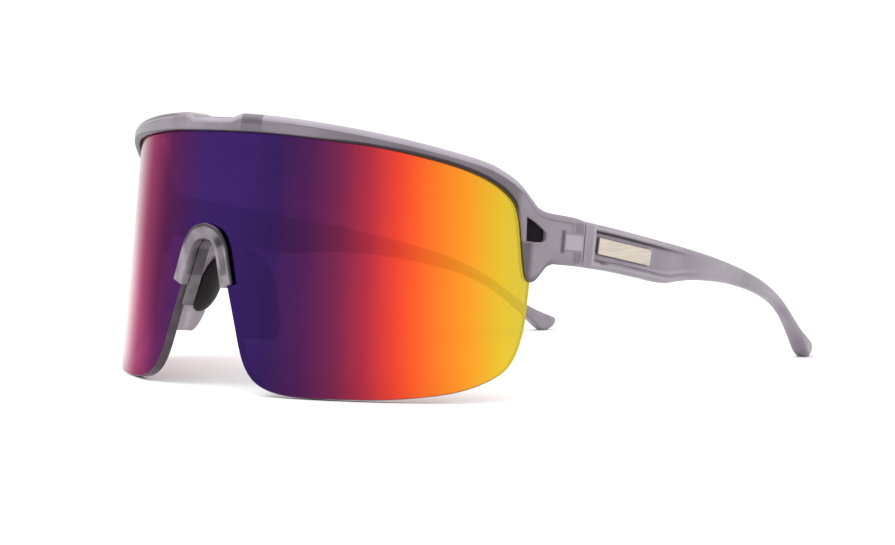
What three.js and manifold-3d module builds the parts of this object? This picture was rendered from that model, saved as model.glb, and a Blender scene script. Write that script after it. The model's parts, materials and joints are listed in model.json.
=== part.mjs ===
// Wraparound sport sunglasses: a one-piece cylindrical shield lens hung from a half-rim brow frame, with a
// clipped nose saddle and padded nose carrier, and two arms that fold inwards on screwed three-knuckle hinges.
//
// Everything is laid out in the shield frame: x to the wearer's left, y from the front to the back and z up the
// lens, with the origin on the lens face at the foot of its centre line. The finished group is then leaned back
// by the lens tilt and centred, so that the glasses stand on the lens's two lowest edges and the two arm tips.
// Sizes are in millimetres and angles in degrees.
import * as THREE from "three";
import { mergeVertices } from "three/addons/utils/BufferGeometryUtils.js";
import Module from "manifold-3d";

const CLEARANCE = 0.3; // air between two pieces that touch on the real object
const CUT_REACH = 30; // how far a cutting tool runs past what it cuts

const lens = {
  radius: 71, // of the front face, in plan
  thickness: 2.2,
  halfArc: 74.7, // from the centre line to the end, along the front face
  height: 54.6, // of the face that shows, above its foot
  foot: 1.9, // lowest edge above the shield frame's origin
  footHalf: 28.3, // from the centre line to the lowest point, along the arc
  tuck: 1.7, // how far the upper edge goes into the brow's groove
  tilt: 6.3, // lean of the standing glasses
  tabFrom: 9,
  tabTo: 14.5, // the two upper tabs, along the arc
  tabRise: 1.2,
  lugReach: 2.1, // side lug, past the lens's end
  lugTop: 13.9, // below the lens's top
  lugBottom: 18.4,
};

const brow = {
  front: 1.7, // proud of the lens face
  depth: 4.3, // back face, behind the lens face
  endFront: 1.2, // the same two at the end piece
  endDepth: 3.6,
  height: 3.7,
  notchHalf: 5.5, // the shallow dip in the middle of the top edge
  notchRamp: 3.4,
  notchDepth: 0.6,
  edge: 1.1, // rounding of its long edges
  endRun: 5.6, // along the lens's curve, from the lens's end to where the end piece turns away
  turnRadius: 10.7,
};

const arm = {
  length: 115.7,
  startAngle: 95, // plan heading at the hinge and at the tip
  endAngle: 107.3,
  thickness: 3.8,
  tipThickness: 4.2,
  waistThickness: 3.0,
  top: 12.6, // upper edge at the hinge, below the lens's top
  height: 9.7,
  edge: 1.3,
  tipRise: 3.7, // top of the tip's end, above what the tip stands on
  standsAt: 0.965, // where the tip touches the ground, as a share of the length
  flat: 0.2, // depth of the flat facet it stands on
};

const panel = { from: 4.1, to: 34, inset: 1.4, depth: 0.7, corner: 1.2 }; // recess for the badge
const badge = { from: 5.4, length: 19.8, height: 3.45, thickness: 0.45, top: 2.8, slope: 4 };

const hinge = {
  pivotDepth: 3.7, // pivot behind the arm's outer path
  pivotAhead: 0.2,
  knuckle: 2.3, // radius
  tongueHeight: 3.2,
  tongueDrop: 3.2, // from the arm's top edge to the tongue
  tongueLength: 4.8,
  tongueWall: 1.8,
  forkEdge: 0.25, // the knuckles stop this far inside the arm's edges
  forkLength: 5,
  screw: 0.6, // radius
  screwHead: 1.1,
  screwHeadHeight: 0.7,
  slotWidth: 0.35,
  slotDepth: 0.3,
  nut: 1.3,
  nutHeight: 1.8,
};

const nose = {
  front: 1.1, // saddle, proud of the lens face
  web: 0.8, // wall inside the lens's cut-out
  flange: 2.2, // saddle, beside the cut-out
  crown: 34.6, // top of the lens's cut-out
  saddleDrop: 11.1, // from the crown to the saddle's feet
  plate: 1.6, // carrier, behind the lens
  plateDrop: 15.5, // from the crown to the ends of the carrier's plate, and to the wings' ends
  wingDrop: 21.5,
  wingTopDrop: 1.9,
  wingDepth: 9.4,
  wingThickness: 1.4,
  wingSplay: 16,
  padHeight: 14,
  padWidth: 7.6,
  padDome: 3.0,
  padDrop: 10.7, // from the crown to the middle of the pad
  padBack: 6.4, // from the front edge of the wing to the middle of the pad
};

const ROUND = 20; // sides of the small round pieces
const LENS_STEPS = 64; // facets of the lens across its width
const FINE_STEPS = 512; // facets of the whole cylinder that rounds the saddle's front

// ---- Materials ----------------------------------------------------------------------------------------------

const finish = (color, roughness, metalness, opacity = 1) =>
  new THREE.MeshStandardMaterial({ color, roughness, metalness, opacity, transparent: opacity < 1 });

const materials = {
  frame: finish(0x9b929c, 0.45, 0, 0.85),
  lens: finish(0x7a2a4e, 0.08, 0.6, 0.9),
  saddle: finish(0x6f6870, 0.2, 0, 0.85),
  rubber: finish(0x1f1a20, 0.85, 0),
  steel: finish(0x9ea0a4, 0.3, 1),
  brass: finish(0xb89b5e, 0.35, 1),
  badge: finish(0xcfc4b6, 0.4, 0.6),
};

// ---- Solids -------------------------------------------------------------------------------------------------

const wasm = await Module();
wasm.setup();

// A closed geometry as a manifold-3d solid.
function solidOf(geometry) {
  const bare = geometry.index ? geometry.toNonIndexed() : geometry.clone();
  const shell = new THREE.BufferGeometry().setAttribute("position", bare.getAttribute("position"));
  const merged = mergeVertices(shell, 1e-4);
  return new wasm.Manifold(
    new wasm.Mesh({
      numProp: 3,
      vertProperties: new Float32Array(merged.attributes.position.array),
      triVerts: new Uint32Array(merged.index.array),
    }),
  );
}

function geometryOf(solid) {
  const mesh = solid.getMesh();
  return new THREE.BufferGeometry()
    .setAttribute("position", new THREE.BufferAttribute(new Float32Array(mesh.vertProperties), 3))
    .setIndex(new THREE.BufferAttribute(new Uint32Array(mesh.triVerts), 1));
}

// The same geometry on the other side of the centre plane, with its faces still pointing out.
function mirrored(geometry) {
  const copy = geometry.clone().scale(-1, 1, 1);
  const index = copy.index.array;
  for (let i = 0; i < index.length; i += 3) {
    [index[i + 1], index[i + 2]] = [index[i + 2], index[i + 1]];
  }
  return copy;
}

// A solid skinned over rings of the same number of points, with a fan over each end.
function loft(rings) {
  const count = rings[0].length;
  const points = rings.flat();
  const index = [];
  for (let r = 0; r + 1 < rings.length; r += 1) {
    for (let i = 0; i < count; i += 1) {
      const a = r * count + i;
      const b = r * count + ((i + 1) % count);
      index.push(a, b, a + count, b, b + count, a + count);
    }
  }
  const last = (rings.length - 1) * count;
  for (let i = 1; i + 1 < count; i += 1) {
    index.push(0, i + 1, i, last, last + i, last + i + 1);
  }
  let volume = 0;
  for (let i = 0; i < index.length; i += 3) {
    const [a, b, c] = [0, 1, 2].map((corner) => points[index[i + corner]]);
    volume += a.dot(new THREE.Vector3().crossVectors(b, c));
  }
  if (volume < 0) index.reverse();
  return new THREE.BufferGeometry().setFromPoints(points).setIndex(index);
}

// A round bar along z, between two heights, at a point in plan.
function bar(radius, at, from, to) {
  return new THREE.CylinderGeometry(radius, radius, to - from, ROUND)
    .rotateX(Math.PI / 2)
    .translate(at.x, at.y, (from + to) / 2);
}

// A closed outline in x and z pushed along y.
function pushed(outline, from, to) {
  return new THREE.ExtrudeGeometry(new THREE.Shape(outline), { depth: to - from, bevelEnabled: false })
    .rotateX(Math.PI / 2)
    .translate(0, to, 0);
}

// ---- Curves -------------------------------------------------------------------------------------------------

const radians = THREE.MathUtils.degToRad;

// A smooth function through points [x, value] that never overshoots them (Fritsch and Carlson's cubic).
function profile(points) {
  const steps = points.slice(1).map(([x, y], i) => (y - points[i][1]) / (x - points[i][0]));
  const slopes = points.map((_, i) => {
    if (i === 0) return steps[0];
    if (i === steps.length) return steps[i - 1];
    const [before, after] = [steps[i - 1], steps[i]];
    return before * after <= 0 ? 0 : (2 * before * after) / (before + after);
  });
  return (x) => {
    const last = points.length - 1;
    if (x <= points[0][0]) return points[0][1];
    if (x >= points[last][0]) return points[last][1];
    const i = points.findIndex(([to]) => to > x) - 1;
    const width = points[i + 1][0] - points[i][0];
    const u = (x - points[i][0]) / width;
    const rise = points[i + 1][1] - points[i][1];
    const start = slopes[i] * width;
    const end = slopes[i + 1] * width;
    return points[i][1] + u * (start + u * (3 * rise - 2 * start - end + u * (start + end - 2 * rise)));
  };
}

// Plan of the outer path: the lens's arc, the end piece's tighter turn, then the long bow of the arm. Gives the
// point at a distance along it from the centre line, and the inward normal there.
const lensEnd = lens.halfArc + brow.endRun;
const turnStart = lensEnd / lens.radius;
const butt = lensEnd + brow.turnRadius * (radians(arm.startAngle) - turnStart);
const bow = arm.length / radians(arm.endAngle - arm.startAngle);

function arcPoint(centre, radius, angle) {
  return new THREE.Vector2(centre.x + radius * Math.sin(angle), centre.y - radius * Math.cos(angle));
}

function path(s) {
  const lensCentre = new THREE.Vector2(0, lens.radius);
  if (s <= lensEnd) {
    const angle = s / lens.radius;
    return { at: arcPoint(lensCentre, lens.radius, angle), angle };
  }
  const turnCentre = arcPoint(lensCentre, lens.radius - brow.turnRadius, turnStart);
  if (s <= butt) {
    const angle = turnStart + (s - lensEnd) / brow.turnRadius;
    return { at: arcPoint(turnCentre, brow.turnRadius, angle), angle };
  }
  const armCentre = arcPoint(turnCentre, brow.turnRadius - bow, radians(arm.startAngle));
  const angle = radians(arm.startAngle) + (s - butt) / bow;
  return { at: arcPoint(armCentre, bow, angle), angle };
}

// The point at distance s along the path, depth t inside it and height h.
function onPath(s, t, h) {
  const { at, angle } = path(Math.abs(s));
  const side = Math.sign(s) || 1;
  return new THREE.Vector3(side * (at.x - t * Math.sin(angle)), at.y + t * Math.cos(angle), h);
}

// A rounded rectangle of depths t0 to t1 and heights h0 to h1, across the path at s.
function section(s, t0, t1, h0, h1, edge) {
  const r = Math.min(edge, (t1 - t0) / 2 - 0.01, (h1 - h0) / 2 - 0.01);
  const corners = [
    [t1 - r, h1 - r, 0],
    [t0 + r, h1 - r, 90],
    [t0 + r, h0 + r, 180],
    [t1 - r, h0 + r, 270],
  ];
  return corners.flatMap(([t, h, from]) =>
    [0, 30, 60, 90].map((turn) =>
      onPath(s, t + r * Math.cos(radians(from + turn)), h + r * Math.sin(radians(from + turn))),
    ),
  );
}

const chord = (s) => lens.radius * Math.sin(s / lens.radius);

// ---- Lens ---------------------------------------------------------------------------------------------------

const lensTop = lens.foot + lens.height;

// Upper edge of the face that shows, as a drop below the lens's top, along the arc.
const end = lens.halfArc;
const rim = [
  [0, 0],
  [0.134 * end, 0],
  [0.402 * end, 0.8],
  [0.52 * end, 1.3],
  [0.69 * end, 3.0],
  [0.776 * end, 4.3],
  [0.834 * end, 5.6],
  [0.877 * end, 7.0],
  [end - 6.2, 9.0],
  [end - 4.5, 10.9],
  [end - 3.4, 13.7],
];
const visibleEdge = profile(rim);

// Half of the nose cut-out, from its crown down to the lens's foot, as [half width, share of the cut's height].
const noseCut = [
  [0, 1],
  [2.9, 0.976],
  [4.7, 0.911],
  [5.7, 0.832],
  [7.3, 0.679],
  [9.1, 0.532],
  [10.7, 0.398],
  [12.3, 0.266],
  [14, 0.162],
  [16.4, 0.08],
  [19.6, 0.031],
  [23.6, 0.006],
  [lens.footHalf, 0],
].map(([x, share]) => [x, lens.foot + share * (nose.crown - lens.foot)]);

function smooth(points, steps) {
  return new THREE.SplineCurve(points.map(([x, y]) => new THREE.Vector2(x, y))).getPoints(steps);
}

// The right half of the lens's outline as points [arc, height], from the crown of the nose cut-out round to the
// top of the centre line.
function lensOutline() {
  const outer = [
    [0.144, 0.3],
    [0.418, 1.4],
    [0.683, 3.7],
    [0.851, 6.9],
    [0.944, 10.7],
    [0.989, 17.1],
    [1, 26.2],
  ].map(([share, rise]) => [lens.footHalf + share * (end - lens.footHalf), lens.foot + rise]);
  const lower = smooth([...noseCut, ...outer], 90);
  const lug = [
    [end, lensTop - lens.lugBottom],
    [end + lens.lugReach - 0.8, lensTop - lens.lugBottom],
    [end + lens.lugReach, lensTop - lens.lugBottom + 1],
    [end + lens.lugReach, lensTop - lens.lugTop - 1.4],
    [end - 1, lensTop - lens.lugTop + 0.6],
  ].map(([s, h]) => new THREE.Vector2(s, h));
  const upperFrom = end - 2;
  const upper = [];
  for (let i = 0; i <= 24; i += 1) {
    const s = lens.tabTo + (upperFrom - lens.tabTo) * Math.sin(((24 - i) / 24) * (Math.PI / 2));
    upper.push(new THREE.Vector2(s, lensTop - visibleEdge(s) + lens.tuck));
  }
  const tabHeight = lensTop + lens.tuck + lens.tabRise;
  const tab = [
    new THREE.Vector2(lens.tabTo, tabHeight),
    new THREE.Vector2(lens.tabFrom, tabHeight),
    new THREE.Vector2(lens.tabFrom, lensTop + lens.tuck),
    new THREE.Vector2(0, lensTop + lens.tuck),
  ];
  return [...lower, ...lug, ...upper, ...tab];
}

// Moves each point of a closed outline out of it by a distance.
function grown(outline, by) {
  if (by === 0) return outline;
  const count = outline.length;
  const turning = THREE.ShapeUtils.area(outline) > 0 ? 1 : -1;
  return outline.map((point, i) => {
    const before = outline[(i + count - 1) % count];
    const after = outline[(i + 1) % count];
    const into = new THREE.Vector2().subVectors(point, before).normalize();
    const out = new THREE.Vector2().subVectors(after, point).normalize();
    const normal = new THREE.Vector2(into.y + out.y, -into.x - out.x).normalize().multiplyScalar(turning);
    const spread = Math.max(0.5, Math.abs(normal.x * into.y - normal.y * into.x));
    return point.clone().addScaledVector(normal, by / spread);
  });
}

// The lens, or the space it needs when it is grown by a clearance.
function lensSolid(by) {
  const half = lensOutline();
  const inX = half.map((point) => new THREE.Vector2(chord(point.x), point.y));
  const left = inX.slice(1, -1).reverse().map((point) => new THREE.Vector2(-point.x, point.y));
  const outline = pushed(grown([...inX, ...left], by), -CUT_REACH, lens.radius);
  const reach = (lens.halfArc + lens.lugReach + 2) / lens.radius;
  const wall = new THREE.Shape();
  const ends = [-Math.PI / 2 - reach, -Math.PI / 2 + reach];
  wall.absarc(0, lens.radius, lens.radius + by, ends[0], ends[1], false);
  wall.absarc(0, lens.radius, lens.radius - lens.thickness - by, ends[1], ends[0], true);
  const shell = new THREE.ExtrudeGeometry(wall, {
    depth: lens.height + 2 * CUT_REACH,
    bevelEnabled: false,
    curveSegments: LENS_STEPS,
  }).translate(0, 0, -CUT_REACH);
  return solidOf(shell).intersect(solidOf(outline));
}

const lensSpace = lensSolid(CLEARANCE);

// ---- Hinges -------------------------------------------------------------------------------------------------

const armTop = lensTop - arm.top;
const armBottom = armTop - arm.height;
const pivot = onPath(butt + hinge.pivotAhead, hinge.pivotDepth, 0);
const tongueTop = armTop - hinge.tongueDrop;
const tongueBottom = tongueTop - hinge.tongueHeight;

// A box in the hinge's own directions: along the arm, inwards from the path and up.
function hingeBox(s0, s1, n0, n1, h0, h1) {
  const { at, angle } = path(butt);
  return new THREE.BoxGeometry(s1 - s0, n1 - n0, h1 - h0)
    .translate((s0 + s1) / 2, (n0 + n1) / 2, (h0 + h1) / 2)
    .rotateZ(angle)
    .translate(at.x, at.y, 0);
}

// The moulded tongue that is let into the end piece and carries the middle knuckle.
function tongueSolid(by) {
  const inner = hinge.pivotDepth + hinge.tongueWall / 2 - 0.3;
  const outer = inner - hinge.tongueWall;
  const shank = hingeBox(-hinge.tongueLength - by, 0, outer - by, inner + by, tongueBottom - by, tongueTop + by);
  const knuckle = bar(hinge.knuckle + by, pivot, tongueBottom - by, tongueTop + by);
  return solidOf(shank).add(solidOf(knuckle));
}

function screwBore(from, to) {
  return solidOf(bar(hinge.screw + CLEARANCE, pivot, from, to));
}

function hingeTongue() {
  return geometryOf(tongueSolid(0).subtract(screwBore(tongueBottom - 1, tongueTop + 1)));
}

const screwTop = armTop - hinge.forkEdge;
const nutBottom = armBottom + hinge.forkEdge;

function hingeScrew() {
  const headUnder = screwTop - hinge.screwHeadHeight;
  const shank = solidOf(bar(hinge.screw, pivot, nutBottom, headUnder + 0.1));
  const head = solidOf(bar(hinge.screwHead, pivot, headUnder, screwTop));
  const half = hinge.slotWidth / 2;
  const slot = new THREE.BoxGeometry(4 * hinge.screwHead, 2 * half, 2 * hinge.slotDepth);
  slot.translate(pivot.x, pivot.y, screwTop);
  return geometryOf(shank.add(head).subtract(solidOf(slot)));
}

function hingeNut() {
  const body = solidOf(bar(hinge.nut, pivot, nutBottom, nutBottom + hinge.nutHeight));
  return geometryOf(body.subtract(screwBore(nutBottom - 1, nutBottom + hinge.nutHeight + 1)));
}

// ---- Brow frame ---------------------------------------------------------------------------------------------

// Upper and lower edges of the brow and its end piece, as drops below the lens's top, along the path.
const browTop = profile([
  [0, brow.notchDepth - brow.height],
  [brow.notchHalf, brow.notchDepth - brow.height],
  [brow.notchHalf + brow.notchRamp, -brow.height - 0.3],
  [0.241 * end, -brow.height],
  [0.399 * end, 0.9 - brow.height],
  [0.574 * end, 2.4 - brow.height],
  [0.744 * end, 4.5 - brow.height],
  [0.857 * end, 6.4 - brow.height],
  [end - 6.5, 8.3 - brow.height],
  [end - 4.2, 9.8 - brow.height],
  [end - 1.9, 12.1 - brow.height],
  [end - 0.7, 13.4 - brow.height],
  [end + 0.5, arm.top - 1.7],
  [end + 2.8, arm.top - 0.9],
  [end + 5, arm.top - 0.7],
  [butt - 1.6, arm.top - 0.3],
  [butt, arm.top],
]);
const browBottom = profile([
  ...rim,
  [end - 2.6, 17.8],
  [end - 1.7, 23.0],
  [end - 0.9, 25.9],
  [end, 26.5],
  [end + 0.9, 26.1],
  [end + 2.4, 24.1],
  [end + 3.4, 22.9],
  [end + 5, arm.top + arm.height],
  [butt, arm.top + arm.height],
]);
const browFront = profile([
  [0, brow.front],
  [end - 8, brow.front],
  [end + 4, brow.endFront],
]);
const browBack = profile([
  [0, brow.depth],
  [end - 8, brow.depth],
  [end + 4, brow.endDepth],
]);

// Distances along the path at which the brow's section is drawn, closer together where it turns.
function browStations() {
  const half = [0, brow.notchHalf, brow.notchHalf + brow.notchRamp / 2, brow.notchHalf + brow.notchRamp];
  const even = 4;
  for (let s = half.at(-1) + even; s < end - 12; s += even) half.push(s);
  for (let s = end - 10; s < end - 4; s += 1.5) half.push(s);
  for (let s = end - 3.9; s < end + 5; s += 0.6) half.push(s);
  for (let s = end + 6; s < butt - 0.5; s += 1.2) half.push(s);
  half.push(butt);
  return [...half.slice(1).reverse().map((s) => -s), ...half];
}

function browFrame() {
  const rings = browStations().map((s) => {
    const a = Math.abs(s);
    return section(s, -browFront(a), browBack(a), lensTop - browBottom(a), lensTop - browTop(a), brow.edge);
  });
  let body = solidOf(loft(rings)).subtract(lensSpace);
  const knuckleSpace = bar(hinge.knuckle + CLEARANCE, pivot, armBottom - 3, armTop + 3);
  const [low, high] = [tongueBottom - CLEARANCE, tongueTop + CLEARANCE];
  const [front, deep] = [-hinge.tongueLength - CLEARANCE, hinge.pivotDepth + CUT_REACH / 5];
  const wayIn = hingeBox(front, 1, hinge.pivotDepth, deep, low, high);
  const pocket = geometryOf(tongueSolid(CLEARANCE).add(solidOf(wayIn)));
  [lugWindow(), knuckleSpace, pocket].forEach((tool) => {
    const reversed = mirrored(geometryOf(solidOf(tool)));
    body = body.subtract(solidOf(tool)).subtract(solidOf(reversed));
  });
  return geometryOf(body);
}

// The opening in the end piece's front lip that the lens's side lug shows through, square to the lens there.
function lugWindow() {
  const { at, angle } = path(end);
  const outline = [
    [-1.9, 0.4 - lens.lugBottom],
    [0.2, 0.3 - lens.lugBottom],
    [1.9, 0.5 - lens.lugBottom],
    [lens.lugReach + 0.4, 1.1 - lens.lugBottom],
    [lens.lugReach + 0.4, -2.1 - lens.lugTop],
    [lens.lugReach - 0.2, -1.4 - lens.lugTop],
    [-0.2, -lens.lugTop],
    [-2.2, 1 - lens.lugTop],
  ].map(([s, h]) => new THREE.Vector2(s, lensTop + h));
  return pushed(outline, -CUT_REACH / 3, 0).rotateZ(angle).translate(at.x, at.y, 0);
}

// ---- Arms ---------------------------------------------------------------------------------------------------

// Height of the ground under a place on the path, in the shield frame: a plane, sloped by the lens's lean, that
// touches the lens's lowest edge.
const lean = Math.tan(radians(lens.tilt));
const lensBack = (point) => onPath(point.x, lens.thickness, 0).y;
const groundAtFront = Math.min(...lensOutline().map((point) => point.y - lean * lensBack(point)));
const ground = (s) => groundAtFront + lean * path(s).at.y;

const stand = butt + arm.standsAt * arm.length;
const tipFoot = ground(stand) - arm.flat;

// How far each edge has come down along the arm, from the hinge (0) to where the tip ends or stands (1).
const upperFall = profile([
  [0, 0],
  [0.11, 0.039],
  [0.25, 0.096],
  [0.4, 0.16],
  [0.49, 0.208],
  [0.575, 0.265],
  [0.672, 0.353],
  [0.724, 0.418],
  [0.78, 0.512],
  [0.825, 0.614],
  [0.867, 0.74],
  [0.9, 0.832],
  [0.94, 0.915],
  [1, 1],
]);
const lowerFall = profile([
  [0, 0],
  [0.1, 0.023],
  [0.2, 0.069],
  [0.285, 0.106],
  [0.33, 0.07],
  [0.38, 0.034],
  [0.43, 0.018],
  [0.5, 0.014],
  [0.55, 0.024],
  [0.6, 0.05],
  [0.65, 0.085],
  [0.7, 0.14],
  [0.75, 0.213],
  [0.79, 0.3],
  [0.82, 0.39],
  [0.85, 0.495],
  [0.88, 0.615],
  [0.906, 0.735],
  [0.93, 0.86],
  [0.95, 0.96],
  [arm.standsAt, 1],
  [0.985, 0.95],
  [1, 0.86],
]);
const armThickness = profile([
  [0, arm.thickness],
  [0.3, arm.thickness],
  [0.6, arm.waistThickness],
  [0.8, arm.waistThickness],
  [0.93, arm.tipThickness],
  [0.98, arm.tipThickness - 0.8],
  [1, 1.6],
]);

function armEdges(u) {
  const low = armBottom - (armBottom - tipFoot) * lowerFall(u);
  const high = armTop - (armTop - tipFoot - arm.tipRise) * upperFall(u);
  return [low, high];
}

// The shallow recess in the arm's outer face, with round corners.
function panelSpace() {
  const floor = panel.depth - brow.endFront;
  const turns = [0.02, 0.1, 0.3, 0.6, 1].map((share) => share * panel.corner);
  const even = [0.2, 0.4, 0.6, 0.8].map((share) => share * (panel.to - panel.from));
  const back = turns.map((inside) => panel.to - panel.from - inside).reverse();
  const rings = [...turns, ...even, ...back].map((inside) => {
    const along = panel.from + inside;
    const [low, high] = armEdges(along / arm.length);
    const toEnd = Math.max(0, panel.corner - Math.min(inside, panel.to - along));
    const drawnIn = panel.inset + panel.corner - Math.sqrt(panel.corner ** 2 - toEnd ** 2);
    return section(butt + along, floor - 4, floor, low + drawnIn, high - drawnIn, 0.3);
  });
  return solidOf(loft(rings));
}

// A thin plate that lies in the recess, sloping down towards the tip.
function badgePlate() {
  const middle = badge.from + badge.length / 2;
  const [, high] = armEdges(badge.from / arm.length);
  const { at, angle } = path(butt + middle);
  const outside = brow.endFront - panel.depth + CLEARANCE;
  const slope = radians(badge.slope);
  return new THREE.BoxGeometry(badge.length, badge.thickness, badge.height)
    .translate(0, -outside - badge.thickness / 2, -badge.height / 2)
    .rotateY(slope)
    .rotateZ(angle)
    .translate(at.x, at.y, high - badge.top - (badge.length / 2) * Math.tan(slope));
}

function armSolid() {
  const shares = [0.013, 0.026, 0.043, 0.07, 0.105, 0.14, 0.175, 0.21, 0.24, 0.265, 0.29, 0.325, 0.36, 0.4, 0.45]
    .concat([0.5, 0.54, 0.58, 0.62, 0.65, 0.68, 0.705, 0.73, 0.755, 0.775, 0.795, 0.815, 0.835, 0.855, 0.872])
    .concat([0.89, 0.905, 0.92, 0.935, 0.95, 0.965, 0.976, 0.985, 0.992, 0.996, 1]);
  const rings = [CLEARANCE / arm.length, ...shares].map((u) => {
    const [low, high] = armEdges(u);
    const middle = (armThickness(0) - armThickness(u)) / 2;
    const inner = armThickness(0) - brow.endFront - middle;
    return section(butt + u * arm.length, -brow.endFront + middle, inner, low, high, arm.edge);
  });
  const forks = [
    [tongueTop + CLEARANCE, armTop - hinge.forkEdge],
    [armBottom + hinge.forkEdge, tongueBottom - CLEARANCE],
  ].map(([from, to]) =>
    solidOf(bar(hinge.knuckle, pivot, from, to)).add(
      solidOf(hingeBox(hinge.pivotAhead + CLEARANCE, hinge.forkLength, 1, hinge.pivotDepth + 0.3, from, to)),
    ),
  );
  const slack = 2 * CLEARANCE;
  const tongueSpace = bar(hinge.knuckle + CLEARANCE, pivot, tongueBottom - CLEARANCE, tongueTop + CLEARANCE);
  const underHead = screwTop - hinge.screwHeadHeight - CLEARANCE;
  const headSpace = bar(hinge.screwHead + CLEARANCE, pivot, underHead, armTop + slack);
  const nutSpace = bar(hinge.nut + CLEARANCE, pivot, armBottom - slack, nutBottom + hinge.nutHeight + CLEARANCE);
  let body = solidOf(loft(rings)).add(forks[0]).add(forks[1]);
  [tongueSpace, headSpace, nutSpace].forEach((tool) => {
    body = body.subtract(solidOf(tool));
  });
  body = body.subtract(screwBore(armBottom - 1, armTop + 1)).subtract(panelSpace());
  return body.subtract(solidOf(groundUnder(stand)));
}

// The ground, under a place on the path.
function groundUnder(s) {
  const { at } = path(s);
  return new THREE.BoxGeometry(CUT_REACH, CUT_REACH, CUT_REACH)
    .translate(0, 0, -CUT_REACH / 2)
    .rotateX(radians(lens.tilt))
    .translate(at.x, at.y, ground(s));
}

// ---- Nose piece ---------------------------------------------------------------------------------------------

// The line of the lens's nose cut-out, moved towards the nose by a distance, down to a height.
function cutLine(inwards, foot) {
  const half = smooth(noseCut, 60).filter((point) => point.y > foot);
  const edge = half.map((point, i) => {
    const before = half[Math.max(0, i - 1)];
    const after = half[Math.min(half.length - 1, i + 1)];
    const along = new THREE.Vector2().subVectors(after, before).normalize();
    return new THREE.Vector2(point.x + along.y * inwards, point.y - along.x * inwards);
  });
  edge[0].x = 0;
  return edge.filter((point) => point.x >= 0);
}

// An arch between two lines that follow the cut-out, both sides of the centre plane.
function arch(inwards, outwards, foot) {
  const inside = cutLine(inwards, foot);
  const outside = cutLine(-outwards, foot);
  const mirror = (line) => line.slice(1).map((point) => new THREE.Vector2(-point.x, point.y));
  return [...mirror(inside).reverse(), ...inside, ...outside.slice(1).reverse(), outside[0], ...mirror(outside)];
}

const noseBack = lens.thickness + 1.5 * CLEARANCE;
const padCentre = nose.crown - nose.padDrop;

function noseSaddle() {
  const outline = arch(CLEARANCE + nose.web, nose.flange, nose.crown - nose.saddleDrop);
  const body = solidOf(pushed(outline, -nose.front - 1, lens.thickness / 2 - CLEARANCE / 2));
  const radius = lens.radius + nose.front;
  const front = new THREE.CylinderGeometry(radius, radius, lens.height, FINE_STEPS)
    .rotateX(Math.PI / 2)
    .translate(0, lens.radius, nose.crown);
  return geometryOf(body.intersect(solidOf(front)).subtract(lensSpace));
}

// Plan of one wing of the carrier at a height: from the lens's back face along the splayed direction.
function wingRing(h, depth, by) {
  const edge = cutLine(0, 0).find((point) => point.y <= h).x;
  const splay = radians(nose.wingSplay);
  const along = new THREE.Vector2(Math.sin(splay), Math.cos(splay));
  const across = new THREE.Vector2(Math.cos(splay), -Math.sin(splay));
  const start = new THREE.Vector2(edge - 0.3, noseBack)
    .addScaledVector(along, -by)
    .addScaledVector(across, -by);
  const end = start.clone().addScaledVector(along, depth + 2 * by);
  const width = nose.wingThickness + 2 * by;
  const [startIn, endIn] = [start, end].map((point) => point.clone().addScaledVector(across, width));
  return [start, end, endIn, startIn].map((point) => new THREE.Vector3(point.x, point.y, h));
}

function wingSolid(by) {
  const foot = nose.crown - nose.wingDrop;
  const top = nose.crown - nose.wingTopDrop;
  const levels = [
    [foot - by, 0.75],
    [foot + 1.2, 0.88],
    [foot + 4.4, 1],
    [padCentre, 1],
    [padCentre + 4.5, 0.92],
    [top - 2.5, 0.78],
    [top + by, 0.5],
  ];
  return solidOf(loft(levels.map(([h, share]) => wingRing(h, share * nose.wingDepth, by))));
}

// The carrier, or the space it needs when it is grown by a clearance.
function carrierSolid(by) {
  const outline = arch(CLEARANCE + nose.web + by, nose.flange - 0.6 + by, nose.crown - nose.plateDrop - by);
  const plate = pushed(outline, lens.thickness / 2 + CLEARANCE / 2 - by, noseBack + nose.plate + by);
  const wing = wingSolid(by);
  return solidOf(plate).add(wing).add(solidOf(mirrored(geometryOf(wing))));
}

function noseCarrier() {
  return geometryOf(carrierSolid(0).subtract(lensSpace));
}

// A rubber pad: half of an egg, set on the nose side of the wing.
function nosePad() {
  const line = cutLine(0, 0);
  const edgeAt = (h) => line.find((point) => point.y <= h).x;
  const reach = nose.padHeight / 3;
  const lean = Math.atan2(edgeAt(padCentre - reach) - edgeAt(padCentre + reach), 2 * reach);
  const egg = new THREE.SphereGeometry(1, ROUND, ROUND / 2)
    .rotateX(Math.PI / 2)
    .scale(nose.padDome, nose.padWidth / 2, nose.padHeight / 2);
  const half = new THREE.BoxGeometry(CUT_REACH, CUT_REACH, CUT_REACH).translate(-CUT_REACH / 2, 0, 0);
  const seat = geometryOf(solidOf(egg).intersect(solidOf(half)))
    .translate(0, nose.padBack, 0)
    .rotateY(-lean)
    .rotateZ(-radians(nose.wingSplay))
    .translate(edgeAt(padCentre) + 0.2, noseBack, padCentre);
  return geometryOf(solidOf(seat).subtract(carrierSolid(CLEARANCE)).subtract(lensSpace));
}

// ---- Assembly -----------------------------------------------------------------------------------------------

const glasses = new THREE.Group();
const shieldFrame = new THREE.Group();
glasses.add(shieldFrame);

function place(name, geometry, material) {
  const mesh = new THREE.Mesh(geometry, material);
  mesh.name = name;
  shieldFrame.add(mesh);
}

// A piece made for the wearer's left, which is +x, and its mirror image for the right.
function placePair(name, geometry, material) {
  place(`${name}_left`, geometry, material);
  place(`${name}_right`, mirrored(geometry), material);
}

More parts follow.
